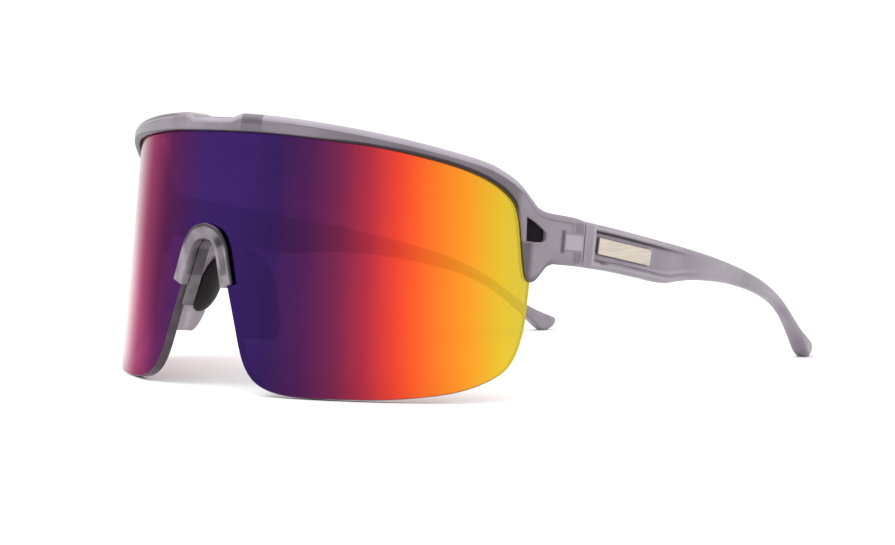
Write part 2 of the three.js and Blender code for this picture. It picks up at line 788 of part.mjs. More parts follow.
place("brow_frame", browFrame(), materials.frame);
place("shield_lens", geometryOf(lensSolid(0)), materials.lens);
place("nose_saddle", noseSaddle(), materials.saddle);
place("nose_carrier", noseCarrier(), materials.saddle);
placePair("nose_pad", nosePad(), materials.rubber);
placePair("hinge_tongue", hingeTongue(), materials.frame);
placePair("hinge_screw", hingeScrew(), materials.steel);
placePair("hinge_nut", hingeNut(), materials.brass);
placePair("temple_arm", geometryOf(armSolid()), materials.frame);
placePair("badge", geometryOf(solidOf(badgePlate())), materials.badge);

// Leans the shield frame back, then sets the lowest point on the ground and the middle of the depth at the origin.
shieldFrame.rotation.x = -radians(lens.tilt);
glasses.updateMatrixWorld(true);
const extent = new THREE.Box3().setFromObject(glasses, true);
shieldFrame.position.set(0, -(extent.min.y + extent.max.y) / 2, -extent.min.z);

export default glasses;
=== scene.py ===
"""Wraparound sport sunglasses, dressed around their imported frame.

Every shape is worked out in the shield frame that the object is designed in: a distance s along the outer
path (the lens's arc, the end piece's turn, then the long bow of the arm), a depth t inside that path and a
height h up the lens, in millimetres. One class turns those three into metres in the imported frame.
"""

import json
import logging
import math
from dataclasses import dataclass
from enum import Enum

import bmesh
import bpy
import numpy as np
from mathutils import Matrix

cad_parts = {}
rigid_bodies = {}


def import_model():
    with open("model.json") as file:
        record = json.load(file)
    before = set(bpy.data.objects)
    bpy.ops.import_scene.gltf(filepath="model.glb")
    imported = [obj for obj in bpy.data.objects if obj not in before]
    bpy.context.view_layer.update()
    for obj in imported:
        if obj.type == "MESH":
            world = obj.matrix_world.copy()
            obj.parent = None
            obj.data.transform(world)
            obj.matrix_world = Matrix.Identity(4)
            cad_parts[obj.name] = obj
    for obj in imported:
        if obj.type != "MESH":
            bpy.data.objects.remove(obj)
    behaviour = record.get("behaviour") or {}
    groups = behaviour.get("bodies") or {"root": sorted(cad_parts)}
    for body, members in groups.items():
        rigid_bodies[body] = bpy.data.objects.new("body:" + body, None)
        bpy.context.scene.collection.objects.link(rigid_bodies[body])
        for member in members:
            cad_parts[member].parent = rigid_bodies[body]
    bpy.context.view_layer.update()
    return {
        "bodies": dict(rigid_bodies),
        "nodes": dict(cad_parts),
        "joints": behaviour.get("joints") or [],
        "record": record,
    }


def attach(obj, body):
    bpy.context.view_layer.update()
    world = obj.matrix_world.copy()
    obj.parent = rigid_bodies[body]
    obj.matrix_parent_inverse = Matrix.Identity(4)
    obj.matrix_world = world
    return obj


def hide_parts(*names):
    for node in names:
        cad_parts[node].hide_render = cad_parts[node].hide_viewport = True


log = logging.getLogger("sunglasses")

MM = 0.001
CLEARANCE = 0.3  # mm of air between two pieces that fit together
Array = np.ndarray


class Side(Enum):
    """The wearer's side that a piece belongs to; the value is the sign of its x."""

    LEFT = 1
    RIGHT = -1

    @property
    def word(self) -> str:
        """The side's name as it stands in node names."""
        return self.name.lower()


# ---- Curves and the shield frame -----------------------------------------------------------------


class Profile:
    """A smooth function through knots that never overshoots them (Fritsch and Carlson's cubic)."""

    def __init__(self, knots: list[tuple[float, float]]) -> None:
        """Keeps the knots and works out a slope at each.

        Args:
            knots: Pairs of position and value, in order of position.
        """
        self.x, self.y = np.array(knots, float).T
        steps = np.diff(self.y) / np.diff(self.x)
        inner = np.zeros(len(steps) - 1)
        same = steps[:-1] * steps[1:] > 0
        inner[same] = 2 * steps[:-1][same] * steps[1:][same] / (steps[:-1] + steps[1:])[same]
        self.slope = np.concatenate([steps[:1], inner, steps[-1:]])

    def __call__(self, at: Array | float) -> Array:
        """Value of the function: cubic Hermite interpolation between the two knots round each position.

        Args:
            at: Positions.

        Returns:
            The values there, level beyond the first and last knot.
        """
        at = np.clip(np.asarray(at, float), self.x[0], self.x[-1])
        i = np.clip(np.searchsorted(self.x, at, side="right") - 1, 0, len(self.x) - 2)
        width = self.x[i + 1] - self.x[i]
        u = (at - self.x[i]) / width
        rise = self.y[i + 1] - self.y[i]
        start, end = self.slope[i] * width, self.slope[i + 1] * width
        return self.y[i] + u * (start + u * (3 * rise - 2 * start - end + u * (start + end - 2 * rise)))


def ease(x: Array, low: float, high: float) -> Array:
    """Smooth step from 0 at low to 1 at high: 3u squared minus 2u cubed of the clamped share u."""
    u = np.clip((np.asarray(x, float) - low) / (high - low), 0, 1)
    return u * u * (3 - 2 * u)


def band(x: Array, low: float, high: float, soft: float) -> Array:
    """1 between two values and 0 outside them, with soft edges."""
    return ease(x, low - soft, low + soft) * (1 - ease(x, high - soft, high + soft))


def rounded_line(points: list[tuple[float, float]], count: int) -> Array:
    """A uniform Catmull-Rom curve through points.

    Args:
        points: The points that it passes through.
        count: How many samples it gets.

    Returns:
        The samples, an array of count by 2.
    """
    p = np.array(points, float)
    u = np.linspace(0, len(p) - 1, count)
    i = np.minimum(u.astype(int), len(p) - 2)
    w = (u - i)[:, None]
    before, after = p[np.maximum(i - 1, 0)], p[np.minimum(i + 2, len(p) - 1)]
    v0, v1 = (p[i + 1] - before) / 2, (after - p[i]) / 2
    a = 2 * p[i] - 2 * p[i + 1] + v0 + v1
    b = -3 * p[i] + 3 * p[i + 1] - 2 * v0 - v1
    return ((a * w + b) * w + v0) * w + p[i]


@dataclass(frozen=True)
class Lens:
    """Sizes of the shield lens, in mm."""

    radius: float = 71.0
    thickness: float = 2.2
    half_arc: float = 74.7
    height: float = 54.6
    foot: float = 1.9
    foot_half: float = 28.3
    tuck: float = 1.7
    tab_from: float = 9.0
    tab_to: float = 14.5
    tab_rise: float = 1.2
    lug_reach: float = 2.1
    lug_top: float = 13.9
    lug_bottom: float = 18.4
    crown: float = 34.6

    @property
    def top(self) -> float:
        """Height of the top of the face that shows."""
        return self.foot + self.height


@dataclass(frozen=True)
class Arm:
    """Sizes of a temple arm, in mm and degrees."""

    length: float = 115.7
    start_angle: float = 95.0
    end_angle: float = 107.3
    thickness: float = 3.8
    tip_thickness: float = 4.2
    waist_thickness: float = 3.0
    proud: float = 1.2
    drop: float = 12.6
    height: float = 9.7
    tip_rise: float = 3.7
    stands_at: float = 0.965
    flat: float = 0.2


@dataclass(frozen=True)
class Hinge:
    """Sizes of the fold hinge, in mm. The tongue's two heights are distances below the arm's upper edge."""

    tongue_top: float = 3.2
    tongue_foot: float = 6.4
    turning_radius: float = 2.6
    knuckle_radius: float = 2.3
    knuckle_inset: float = 0.25
    bore_radius: float = 0.9
    head_radius: float = 1.4
    head_depth: float = 1.25
    nut_radius: float = 1.6
    nut_depth: float = 2.35


LENS = Lens()
ARM = Arm()
HINGE = Hinge()


class ShieldFrame:
    """Turns path distance, depth and height into packed metres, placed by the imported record's own hinge."""

    END_RUN = 5.6
    TURN_RADIUS = 10.7
    PIVOT_AHEAD = 0.2
    PIVOT_DEPTH = 3.7

    def __init__(self, joint: dict) -> None:
        """Works out the path's three arcs, then the lean and the shift that put the pivot on the joint.

        Args:
            joint: The record's joint of the left hinge.
        """
        self.lens_end = LENS.half_arc + self.END_RUN
        self.turn_start = self.lens_end / LENS.radius
        self.arm_start = math.radians(ARM.start_angle)
        self.butt = self.lens_end + self.TURN_RADIUS * (self.arm_start - self.turn_start)
        self.bow = ARM.length / math.radians(ARM.end_angle - ARM.start_angle)
        self.lens_centre = np.array([0.0, LENS.radius])
        inside = LENS.radius - self.TURN_RADIUS
        self.turn_centre = self.lens_centre + inside * self.heading(self.turn_start)
        self.arm_centre = self.turn_centre + (self.TURN_RADIUS - self.bow) * self.heading(self.arm_start)
        axis, at = np.array(joint["axis"]), np.array(joint["pos_m"]) / MM
        self.lean = math.atan2(axis[1], axis[2])
        cos, sin = math.cos(self.lean), math.sin(self.lean)
        self.turn = np.array([[1, 0, 0], [0, cos, sin], [0, -sin, cos]])
        self.pivot = self.flat(self.butt + self.PIVOT_AHEAD, self.PIVOT_DEPTH)
        middle = LENS.top - ARM.drop - ARM.height / 2
        self.shift = at - self.turn @ np.array([*self.pivot, middle])

    @staticmethod
    def heading(angle: Array | float) -> Array:
        """Unit vector out of a circle's centre at an angle from the front."""
        return np.stack([np.sin(angle), -np.cos(angle)], -1)

    def flat(self, s: Array | float, t: Array | float) -> Array:
        """Plan position of path distances and depths: the centre of each point's arc plus its radius, less
        the depth, along its heading.

        Args:
            s: Distance along the path from the centre line, positive only.
            t: Depth inside the path.

        Returns:
            Plan x and y.
        """
        s = np.asarray(s, float)
        on_lens, on_turn = s <= self.lens_end, s <= self.butt
        angle = np.where(
            on_lens,
            s / LENS.radius,
            np.where(
                on_turn,
                self.turn_start + (s - self.lens_end) / self.TURN_RADIUS,
                self.arm_start + (s - self.butt) / self.bow,
            ),
        )
        radius = np.where(on_lens, LENS.radius, np.where(on_turn, self.TURN_RADIUS, self.bow))
        centre = np.where(
            on_lens[..., None],
            self.lens_centre,
            np.where(on_turn[..., None], self.turn_centre, self.arm_centre),
        )
        return centre + (radius - t)[..., None] * self.heading(angle)

    def packed(self, points: Array) -> Array:
        """Shield frame x, y and z in mm as packed metres: turned by the lean, then shifted."""
        return (points @ self.turn.T + self.shift) * MM

    def place(self, s: Array, t: Array, h: Array) -> Array:
        """Packed metres of points given by path distance, depth and height.

        Args:
            s: Distance along the path, negative on the wearer's right.
            t: Depth inside the path.
            h: Height up the lens.

        Returns:
            The points, with a last axis of 3.
        """
        s, t, h = np.broadcast_arrays(np.asarray(s, float), np.asarray(t, float), np.asarray(h, float))
        plan = self.flat(np.abs(s), t)
        x = plan[..., 0] * np.where(s < 0, -1, 1)
        return self.packed(np.stack([x, plan[..., 1], h], -1))

    def unroll(self, points: Array) -> tuple[Array, Array]:
        """Distance along the lens's arc, and height, of packed points near the lens or the brow.

        Args:
            points: Packed positions in metres.

        Returns:
            Unsigned path distance and height in mm.
        """
        local = (points / MM - self.shift) @ self.turn
        x, y = np.abs(local[..., 0]), local[..., 1]
        lens_angle = np.arctan2(x, LENS.radius - y)
        turn_angle = np.arctan2(x - self.turn_centre[0], self.turn_centre[1] - y)
        past = lens_angle > self.turn_start
        on_turn = self.lens_end + (turn_angle - self.turn_start) * self.TURN_RADIUS
        return np.where(past, on_turn, lens_angle * LENS.radius), local[..., 2]


RIM = Profile(
    [
        (0, 0),
        (0.134 * LENS.half_arc, 0),
        (0.402 * LENS.half_arc, 0.8),
        (0.52 * LENS.half_arc, 1.3),
        (0.69 * LENS.half_arc, 3.0),
        (0.776 * LENS.half_arc, 4.3),
        (0.834 * LENS.half_arc, 5.6),
        (0.877 * LENS.half_arc, 7.0),
        (LENS.half_arc - 6.2, 9.0),
        (LENS.half_arc - 4.5, 10.9),
        (LENS.half_arc - 3.4, 13.7),
    ]
)

NOSE_CUT = [
    (x, LENS.foot + share * (LENS.crown - LENS.foot))
    for x, share in [
        (0, 1),
        (2.9, 0.976),
        (4.7, 0.911),
        (5.7, 0.832),
        (7.3, 0.679),
        (9.1, 0.532),
        (10.7, 0.398),
        (12.3, 0.266),
        (14, 0.162),
        (16.4, 0.08),
        (19.6, 0.031),
        (23.6, 0.006),
        (LENS.foot_half, 0),
    ]
]


# ---- Meshes --------------------------------------------------------------------------------------


def new_object(name: str, verts: Array, faces: list, sharp: float = 38.0) -> bpy.types.Object:
    """A closed mesh object at the origin, its faces pointing out, smooth but for edges sharper than an angle.

    Args:
        name: The piece's name.
        verts: Vertices in metres.
        faces: Tuples of vertex numbers.
        sharp: Angle in degrees above which an edge stays crisp.

    Returns:
        The object, linked to the scene.
    """
    mesh = bpy.data.meshes.new(name)
    mesh.from_pydata(verts.reshape(-1, 3).tolist(), [], faces)
    obj = bpy.data.objects.new(name, mesh)
    bpy.context.scene.collection.objects.link(obj)
    face_out(mesh)
    smooth(mesh, sharp)
    return obj


def face_out(mesh: bpy.types.Mesh) -> None:
    """Makes a closed mesh's faces agree and point out of it, by the sign of its volume."""
    work = bmesh.new()
    work.from_mesh(mesh)
    bmesh.ops.recalc_face_normals(work, faces=work.faces)
    if work.calc_volume(signed=True) < 0:
        bmesh.ops.reverse_faces(work, faces=work.faces)
    work.to_mesh(mesh)
    work.free()


def smooth(mesh: bpy.types.Mesh, sharp: float) -> None:
    """Shades a mesh smooth, with crisp edges above an angle in degrees."""
    mesh.polygons.foreach_set("use_smooth", np.ones(len(mesh.polygons), bool))
    mesh.set_sharp_from_angle(angle=math.radians(sharp))


def skin(rings: Array) -> list[tuple[int, ...]]:
    """Faces of a solid skinned over closed rings, with a flat face over each end.

    Args:
        rings: Array of ring, point and coordinate.

    Returns:
        Quads between neighbouring rings, and the two end polygons.
    """
    count, size = rings.shape[:2]
    ring, point = np.meshgrid(np.arange(count - 1), np.arange(size), indexing="ij")
    a = (ring * size + point).ravel()
    b = (ring * size + (point + 1) % size).ravel()
    quads = np.stack([a, b, b + size, a + size], 1)
    ends = [tuple(range(size)), tuple(range((count - 1) * size, count * size))]
    return [tuple(q) for q in quads.tolist()] + ends


def ring_box(
    low_t: Array, high_t: Array, low_h: Array, high_h: Array, edge: Array, side_points: int
) -> tuple[Array, Array, Array]:
    """Rounded rectangles, one for each station: four quarter circles joined by straight sides.

    Args:
        low_t: Outer depths.
        high_t: Inner depths.
        low_h: Lower edges.
        high_h: Upper edges.
        edge: Corner radii, held to just under half of each side.
        side_points: Extra points along the outer and the inner side.

    Returns:
        Depths and heights as arrays of station by point, and a mask of the points on the outer side.
    """
    radius = np.minimum.reduce([edge + 0 * low_t, (high_t - low_t) * 0.49, (high_h - low_h) * 0.49])[:, None]
    low_t, high_t, low_h, high_h = (v[:, None] for v in (low_t, high_t, low_h, high_h))
    arcs = np.radians(np.linspace(0, 90, 7))
    share = np.linspace(0, 1, side_points + 2)[1:-1]
    ones = np.ones_like(share)
    depth, height = [], []
    for centre_t, centre_h, start in (
        (high_t - radius, high_h - radius, 0),
        (low_t + radius, high_h - radius, math.pi / 2),
        (low_t + radius, low_h + radius, math.pi),
        (high_t - radius, low_h + radius, 1.5 * math.pi),
    ):
        depth.append(centre_t + radius * np.cos(start + arcs))
        height.append(centre_h + radius * np.sin(start + arcs))
    top, foot = high_h - radius, low_h + radius
    down, rise = top + (foot - top) * share, foot + (top - foot) * share
    depth = [depth[0], depth[1], low_t * ones, depth[2], depth[3], high_t * ones]
    height = [height[0], height[1], down, height[2], height[3], rise]
    outer = np.concatenate([np.zeros(7), np.ones(7 + side_points + 7), np.zeros(7 + side_points)]) > 0
    return np.concatenate(depth, 1), np.concatenate(height, 1), outer


def add_value(mesh: bpy.types.Mesh, name: str, values: Array) -> None:
    """Stores one number for each vertex as a named attribute."""
    layer = mesh.attributes.new(name, "FLOAT", "POINT")
    layer.data.foreach_set("value", np.asarray(values, np.float32).ravel())


def bar(
    shield: ShieldFrame, side: Side, radius: float, low: float, high: float, name: str
) -> bpy.types.Object:
    """A round bar on a hinge's pivot axis: a circle of points skinned between two heights."""
    count = 48
    angle = np.linspace(0, 2 * math.pi, count, endpoint=False)
    x, y = shield.pivot[0] + radius * np.cos(angle), shield.pivot[1] + radius * np.sin(angle)
    rings = np.stack([np.stack([side.value * x, y, np.full(count, h)], -1) for h in (low, high)])
    return new_object(name, shield.packed(rings), skin(rings))


def combine(obj: bpy.types.Object, tool: bpy.types.Object, way: str) -> None:
    """Joins a tool to a piece or cuts it out of it, and removes the tool.

    Args:
        obj: The piece, whose mesh is replaced by the result.
        tool: The other solid.
        way: UNION or DIFFERENCE.
    """
    modifier = obj.modifiers.new("fit", "BOOLEAN")
    modifier.operation, modifier.object, modifier.solver = way, tool, "EXACT"
    done = bpy.data.meshes.new_from_object(obj.evaluated_get(bpy.context.evaluated_depsgraph_get()))
    obj.modifiers.remove(modifier)
    obj.data = done
    bpy.data.objects.remove(tool)


def copy_of(node: bpy.types.Object, name: str, sharp: float) -> bpy.types.Object:
    """A merged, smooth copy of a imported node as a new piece."""
    mesh = node.data.copy()
    work = bmesh.new()
    work.from_mesh(mesh)
    bmesh.ops.remove_doubles(work, verts=work.verts, dist=2e-6)
    work.to_mesh(mesh)
    work.free()
    mesh.materials.clear()
    face_out(mesh)
    smooth(mesh, sharp)
    obj = bpy.data.objects.new(name, mesh)
    bpy.context.scene.collection.objects.link(obj)
    return obj


def grow(obj: bpy.types.Object, by: float) -> None:
    """Moves every vertex of a solid out along its normal."""
    mesh = obj.data
    co, normal = np.empty(len(mesh.vertices) * 3), np.empty(len(mesh.vertices) * 3)
    mesh.vertices.foreach_get("co", co)
    mesh.vertices.foreach_get("normal", normal)
    mesh.vertices.foreach_set("co", co + by * normal)
    mesh.update()


def dress(obj: bpy.types.Object, *materials: bpy.types.Material) -> None:
    """Gives an object its materials, in slot order."""
    if obj.data.materials:
        obj.data.materials.clear()
    for material in materials:
        obj.data.materials.append(material)


# ---- Finishes ------------------------------------------------------------------------------------

Colour = tuple[float, float, float]


class Nodes:
    """A small builder for one material's node tree."""

    def __init__(self, name: str) -> None:
        """Starts a material with a Principled shader and Object coordinates.

        Args:
            name: The material's name.
        """
        self.material = bpy.data.materials.new(name)
        self.material.use_nodes = True
        self.tree = self.material.node_tree
        self.shader = self.tree.nodes["Principled BSDF"]
        self.output = self.tree.nodes["Material Output"]
        self.place = self.tree.nodes.new("ShaderNodeTexCoord").outputs["Object"]

    def link(self, source: bpy.types.NodeSocket, target: bpy.types.NodeSocket) -> None:
        """Joins two sockets."""
        self.tree.links.new(source, target)

    def put(self, **values: float | tuple) -> None:
        """Sets the shader's own sockets; an underscore in a name stands for a space."""
        for name, value in values.items():
            socket = self.shader.inputs[name.replace("_", " ")]
            socket.default_value = (*value, 1.0) if isinstance(value, tuple) and len(value) == 3 else value

    def noise(self, scale: float, detail: float = 3.0, stretch: Colour = (1, 1, 1)) -> bpy.types.NodeSocket:
        """A noise on Object coordinates, stretched along the axes."""
        mapping = self.tree.nodes.new("ShaderNodeMapping")
        mapping.inputs["Scale"].default_value = stretch
        self.link(self.place, mapping.inputs["Vector"])
        node = self.tree.nodes.new("ShaderNodeTexNoise")
        node.inputs["Scale"].default_value = scale
        node.inputs["Detail"].default_value = detail
        self.link(mapping.outputs["Vector"], node.inputs["Vector"])
        return node.outputs["Fac"]

    def value(self, name: str) -> bpy.types.NodeSocket:
        """A vertex attribute by name."""
        node = self.tree.nodes.new("ShaderNodeAttribute")
        node.attribute_name = name
        return node.outputs["Fac"]

    def ramp(self, fac: bpy.types.NodeSocket, stops: list[tuple[float, Colour]]) -> bpy.types.NodeSocket:
        """A colour ramp through stops of position and colour."""
        node = self.tree.nodes.new("ShaderNodeValToRGB")
        elements = node.color_ramp.elements
        for i, (position, colour) in enumerate(stops):
            element = elements[i] if i < 2 else elements.new(1.0)
            element.position = position
            element.color = (*colour, 1)
        self.link(fac, node.inputs["Fac"])
        return node.outputs["Color"]

    def math(self, kind: str, a: object, b: object = 0.0) -> bpy.types.NodeSocket:
        """A math node; each of its two inputs is a socket or a number."""
        node = self.tree.nodes.new("ShaderNodeMath")
        node.operation = kind
        for i, value in enumerate((a, b)):
            if isinstance(value, bpy.types.NodeSocket):
                self.link(value, node.inputs[i])
            else:
                node.inputs[i].default_value = value
        return node.outputs[0]

    def mix(self, fac: object, a: object, b: object, kind: str = "MIX") -> bpy.types.NodeSocket:
        """A colour mix; the factor and colours are sockets or values."""
        node = self.tree.nodes.new("ShaderNodeMix")
        node.data_type, node.blend_type = "RGBA", kind
        for socket, value in zip((node.inputs[0], node.inputs[6], node.inputs[7]), (fac, a, b)):
            if isinstance(value, bpy.types.NodeSocket):
                self.link(value, socket)
            else:
                socket.default_value = (*value, 1) if isinstance(value, tuple) else value
        return node.outputs[2]

    def bump(self, height: bpy.types.NodeSocket, strength: float, distance: float) -> None:
        """Bumps the shader's normal by a height, over a distance in mm."""
        node = self.tree.nodes.new("ShaderNodeBump")
        node.inputs["Strength"].default_value = strength
        node.inputs["Distance"].default_value = distance * MM
        self.link(height, node.inputs["Height"])
        self.link(node.outputs["Normal"], self.shader.inputs["Normal"])

    def see_through(self, share: float, tint: object) -> None:
        """Mixes a share of clear, tinted see-through into the surface."""
        clear = self.tree.nodes.new("ShaderNodeBsdfTransparent")
        if isinstance(tint, bpy.types.NodeSocket):
            self.link(tint, clear.inputs["Color"])
        else:
            clear.inputs["Color"].default_value = (*tint, 1)
        mix = self.tree.nodes.new("ShaderNodeMixShader")
        mix.inputs[0].default_value = share
        self.link(self.shader.outputs[0], mix.inputs[1])
        self.link(clear.outputs[0], mix.inputs[2])
        self.link(mix.outputs[0], self.output.inputs["Surface"])


@dataclass(frozen=True)
class CrystalPlastic:
    """Satin translucent smoke-grey nylon, clouded inside, with painted shade where the shade attribute says
    and painted light where the glow attribute says.
    """

    name: str
    light: Colour = (0.25, 0.22, 0.254)
    deep: Colour = (0.195, 0.168, 0.198)
    shadow: Colour = (0.012, 0.009, 0.012)
    # Colour that the painted light, a highlight laid into the surface, mixes towards.
    glow: Colour = (0.48, 0.44, 0.49)
    roughness: float = 0.36

    def material(self) -> bpy.types.Material:
        """Clouds two greys by a slow noise, lays the painted light and the painted shade over them and grains
        the face.
        """
        nodes = Nodes(self.name)
        cloud = nodes.ramp(nodes.noise(90.0), [(0.35, self.deep), (0.65, self.light)])
        # Painted light and painted shade, read from the two attributes, mixed over the clouded grey.
        lit = nodes.mix(nodes.value("glow"), cloud, self.glow)
        shaded = nodes.mix(nodes.value("shade"), lit, self.shadow)
        nodes.link(shaded, nodes.shader.inputs["Base Color"])
        rough = nodes.math("MULTIPLY_ADD", nodes.noise(500.0), 0.12)
        rough.node.inputs[2].default_value = self.roughness - 0.06
        nodes.link(rough, nodes.shader.inputs["Roughness"])
        nodes.put(IOR=1.5, Specular_IOR_Level=0.26, Subsurface_Weight=0.15, Subsurface_Scale=0.002)
        nodes.shader.inputs["Subsurface Radius"].default_value = (1.0, 0.85, 1.0)
        nodes.bump(nodes.noise(2600.0), 0.10, 0.05)
        return nodes.material


@dataclass(frozen=True)
class MirrorCoat:
    """Iridescent mirror coat whose colour runs round the lens, by the angle about an upright axis."""

    name: str
    centre_y: float
    see: float = 0.28
    reach: float = 66.0

    ROSE = (0.50, 0.10, 0.12)
    PINK = (0.62, 0.14, 0.16)
    BLUSH = (0.62, 0.20, 0.26)
    CERISE = (0.56, 0.13, 0.22)
    RASPBERRY = (0.36, 0.04, 0.13)
    PLUM = (0.09, 0.015, 0.08)
    INDIGO = (0.05, 0.02, 0.15)
    VIOLET = (0.042, 0.017, 0.11)
    AUBERGINE = (0.085, 0.018, 0.095)
    CLARET = (0.20, 0.024, 0.08)
    CRIMSON = (0.46, 0.034, 0.06)
    SCARLET = (0.88, 0.065, 0.036)
    VERMILION = (1.0, 0.115, 0.027)
    ORANGE = (1.0, 0.32, 0.024)
    AMBER = (0.80, 0.56, 0.035)
    GOLD = (0.66, 0.575, 0.08)

    STOPS = [
        (-64, ROSE),
        (-52, PINK),
        (-42, BLUSH),
        (-33, CERISE),
        (-25, RASPBERRY),
        (-14, PLUM),
        (-3, INDIGO),
        (8, INDIGO),
        (15, VIOLET),
        (22, AUBERGINE),
        (28, CLARET),
        (33, CRIMSON),
        (38, SCARLET),
        (41, VERMILION),
        (49, ORANGE),
        (56, AMBER),
        (62, GOLD),
    ]

    def material(self) -> bpy.types.Material:
        """Colours a metallic surface by a ramp over the angle whose tangent is x over the way in front."""
        nodes = Nodes(self.name)
        split = nodes.tree.nodes.new("ShaderNodeSeparateXYZ")
        nodes.link(nodes.place, split.inputs[0])
        ahead = nodes.math("SUBTRACT", self.centre_y, split.outputs["Y"])
        angle = nodes.math("ARCTAN2", split.outputs["X"], ahead)
        fac = nodes.math("MULTIPLY_ADD", angle, 0.5 / math.radians(self.reach))
        fac.node.inputs[2].default_value = 0.5
        stops = [(0.5 + 0.5 * degrees / self.reach, colour) for degrees, colour in self.STOPS]
        colour = nodes.ramp(fac, stops)
        nodes.link(colour, nodes.shader.inputs["Base Color"])
        facing = nodes.tree.nodes.new("ShaderNodeLayerWeight").outputs["Facing"]
        limb = nodes.tree.nodes.new("ShaderNodeMapRange")
        limb.inputs["From Min"].default_value, limb.inputs["From Max"].default_value = 0.72, 0.86
        nodes.link(facing, limb.inputs["Value"])
        nodes.link(limb.outputs["Result"], nodes.shader.inputs["Coat Weight"])
        nodes.put(Metallic=1.0, Roughness=0.13, Specular_Tint=(0.9, 0.58, 0.68))
        nodes.put(Coat_Roughness=0.1, Coat_IOR=1.5)
        nodes.bump(nodes.noise(60.0, 1.0), 0.02, 0.1)
        nodes.see_through(self.see, colour)
        return nodes.material


@dataclass(frozen=True)
class SmokeTint:
    """The lens's uncoated inner face: glossy smoke-brown tint that lets some light through."""

    name: str
    colour: Colour = (0.035, 0.022, 0.030)
    see: float = 0.72

    def material(self) -> bpy.types.Material:
        """Clouds the tint slightly and mixes in the see-through."""
        nodes = Nodes(self.name)
        lighter = tuple(1.5 * c for c in self.colour)
        cloud = nodes.ramp(nodes.noise(40.0), [(0.3, self.colour), (0.7, lighter)])
        nodes.link(cloud, nodes.shader.inputs["Base Color"])
        nodes.put(Roughness=0.12, IOR=1.58)
        nodes.see_through(self.see, (0.85, 0.78, 0.84))
        return nodes.material


@dataclass(frozen=True)
class GlossPlastic:
    """Glossy grey plastic with soft inner clouds, and a shade attribute for the shade painted into its
    hollows and the dark reflections painted onto it.
    """

    name: str
    light: Colour = (0.24, 0.21, 0.24)
    deep: Colour = (0.15, 0.13, 0.15)
    shadow: Colour = (0.018, 0.015, 0.018)
    roughness: float = 0.13
    cloud: float = 220.0
    specular: float = 0.36

    def material(self) -> bpy.types.Material:
        """Clouds two greys, darkens them by the shade attribute and varnishes the face."""
        nodes = Nodes(self.name)
        cloud = nodes.ramp(nodes.noise(self.cloud, 1.0), [(0.38, self.deep), (0.62, self.light)])
        nodes.link(nodes.mix(nodes.value("shade"), cloud, self.shadow), nodes.shader.inputs["Base Color"])
        nodes.put(Roughness=self.roughness, IOR=1.5, Specular_IOR_Level=self.specular)
        nodes.bump(nodes.noise(900.0), 0.05, 0.05)
        return nodes.material


@dataclass(frozen=True)
class SoftRubber:
    """Matt, near-black soft rubber with a fine grain."""

    name: str
    dark: Colour = (0.008, 0.005, 0.006)
    worn: Colour = (0.017, 0.012, 0.014)

    def material(self) -> bpy.types.Material:
        """Varies the colour by a slow noise and grains the face by a fine one."""
        nodes = Nodes(self.name)
        cloud = nodes.ramp(nodes.noise(180.0), [(0.3, self.dark), (0.75, self.worn)])
        nodes.link(cloud, nodes.shader.inputs["Base Color"])
        nodes.put(Roughness=0.55, Specular_IOR_Level=0.22, Sheen_Weight=0.04, Sheen_Roughness=0.5)
        nodes.bump(nodes.noise(3200.0), 0.25, 0.08)
        return nodes.material


@dataclass(frozen=True)
class Metal:
    """Turned or brushed metal: streaks along one axis in colour and gloss."""

    name: str
    colour: Colour
    streak: Colour
    roughness: float = 0.28
    stretch: Colour = (1.0, 0.04, 1.0)

    def material(self) -> bpy.types.Material:
        """Stretches a fine noise into streaks, for the colour, the roughness and a shallow bump."""
        nodes = Nodes(self.name)
        grain = nodes.noise(2400.0, 2.0, self.stretch)
        brushed = nodes.ramp(grain, [(0.3, self.streak), (0.7, self.colour)])
        nodes.link(brushed, nodes.shader.inputs["Base Color"])
        rough = nodes.math("MULTIPLY_ADD", grain, 0.2)
        rough.node.inputs[2].default_value = self.roughness - 0.1
        nodes.link(rough, nodes.shader.inputs["Roughness"])
        nodes.put(Metallic=0.85)
        nodes.bump(grain, 0.12, 0.03)
        return nodes.material


# ---- Sub-assemblies ------------------------------------------------------------------------------


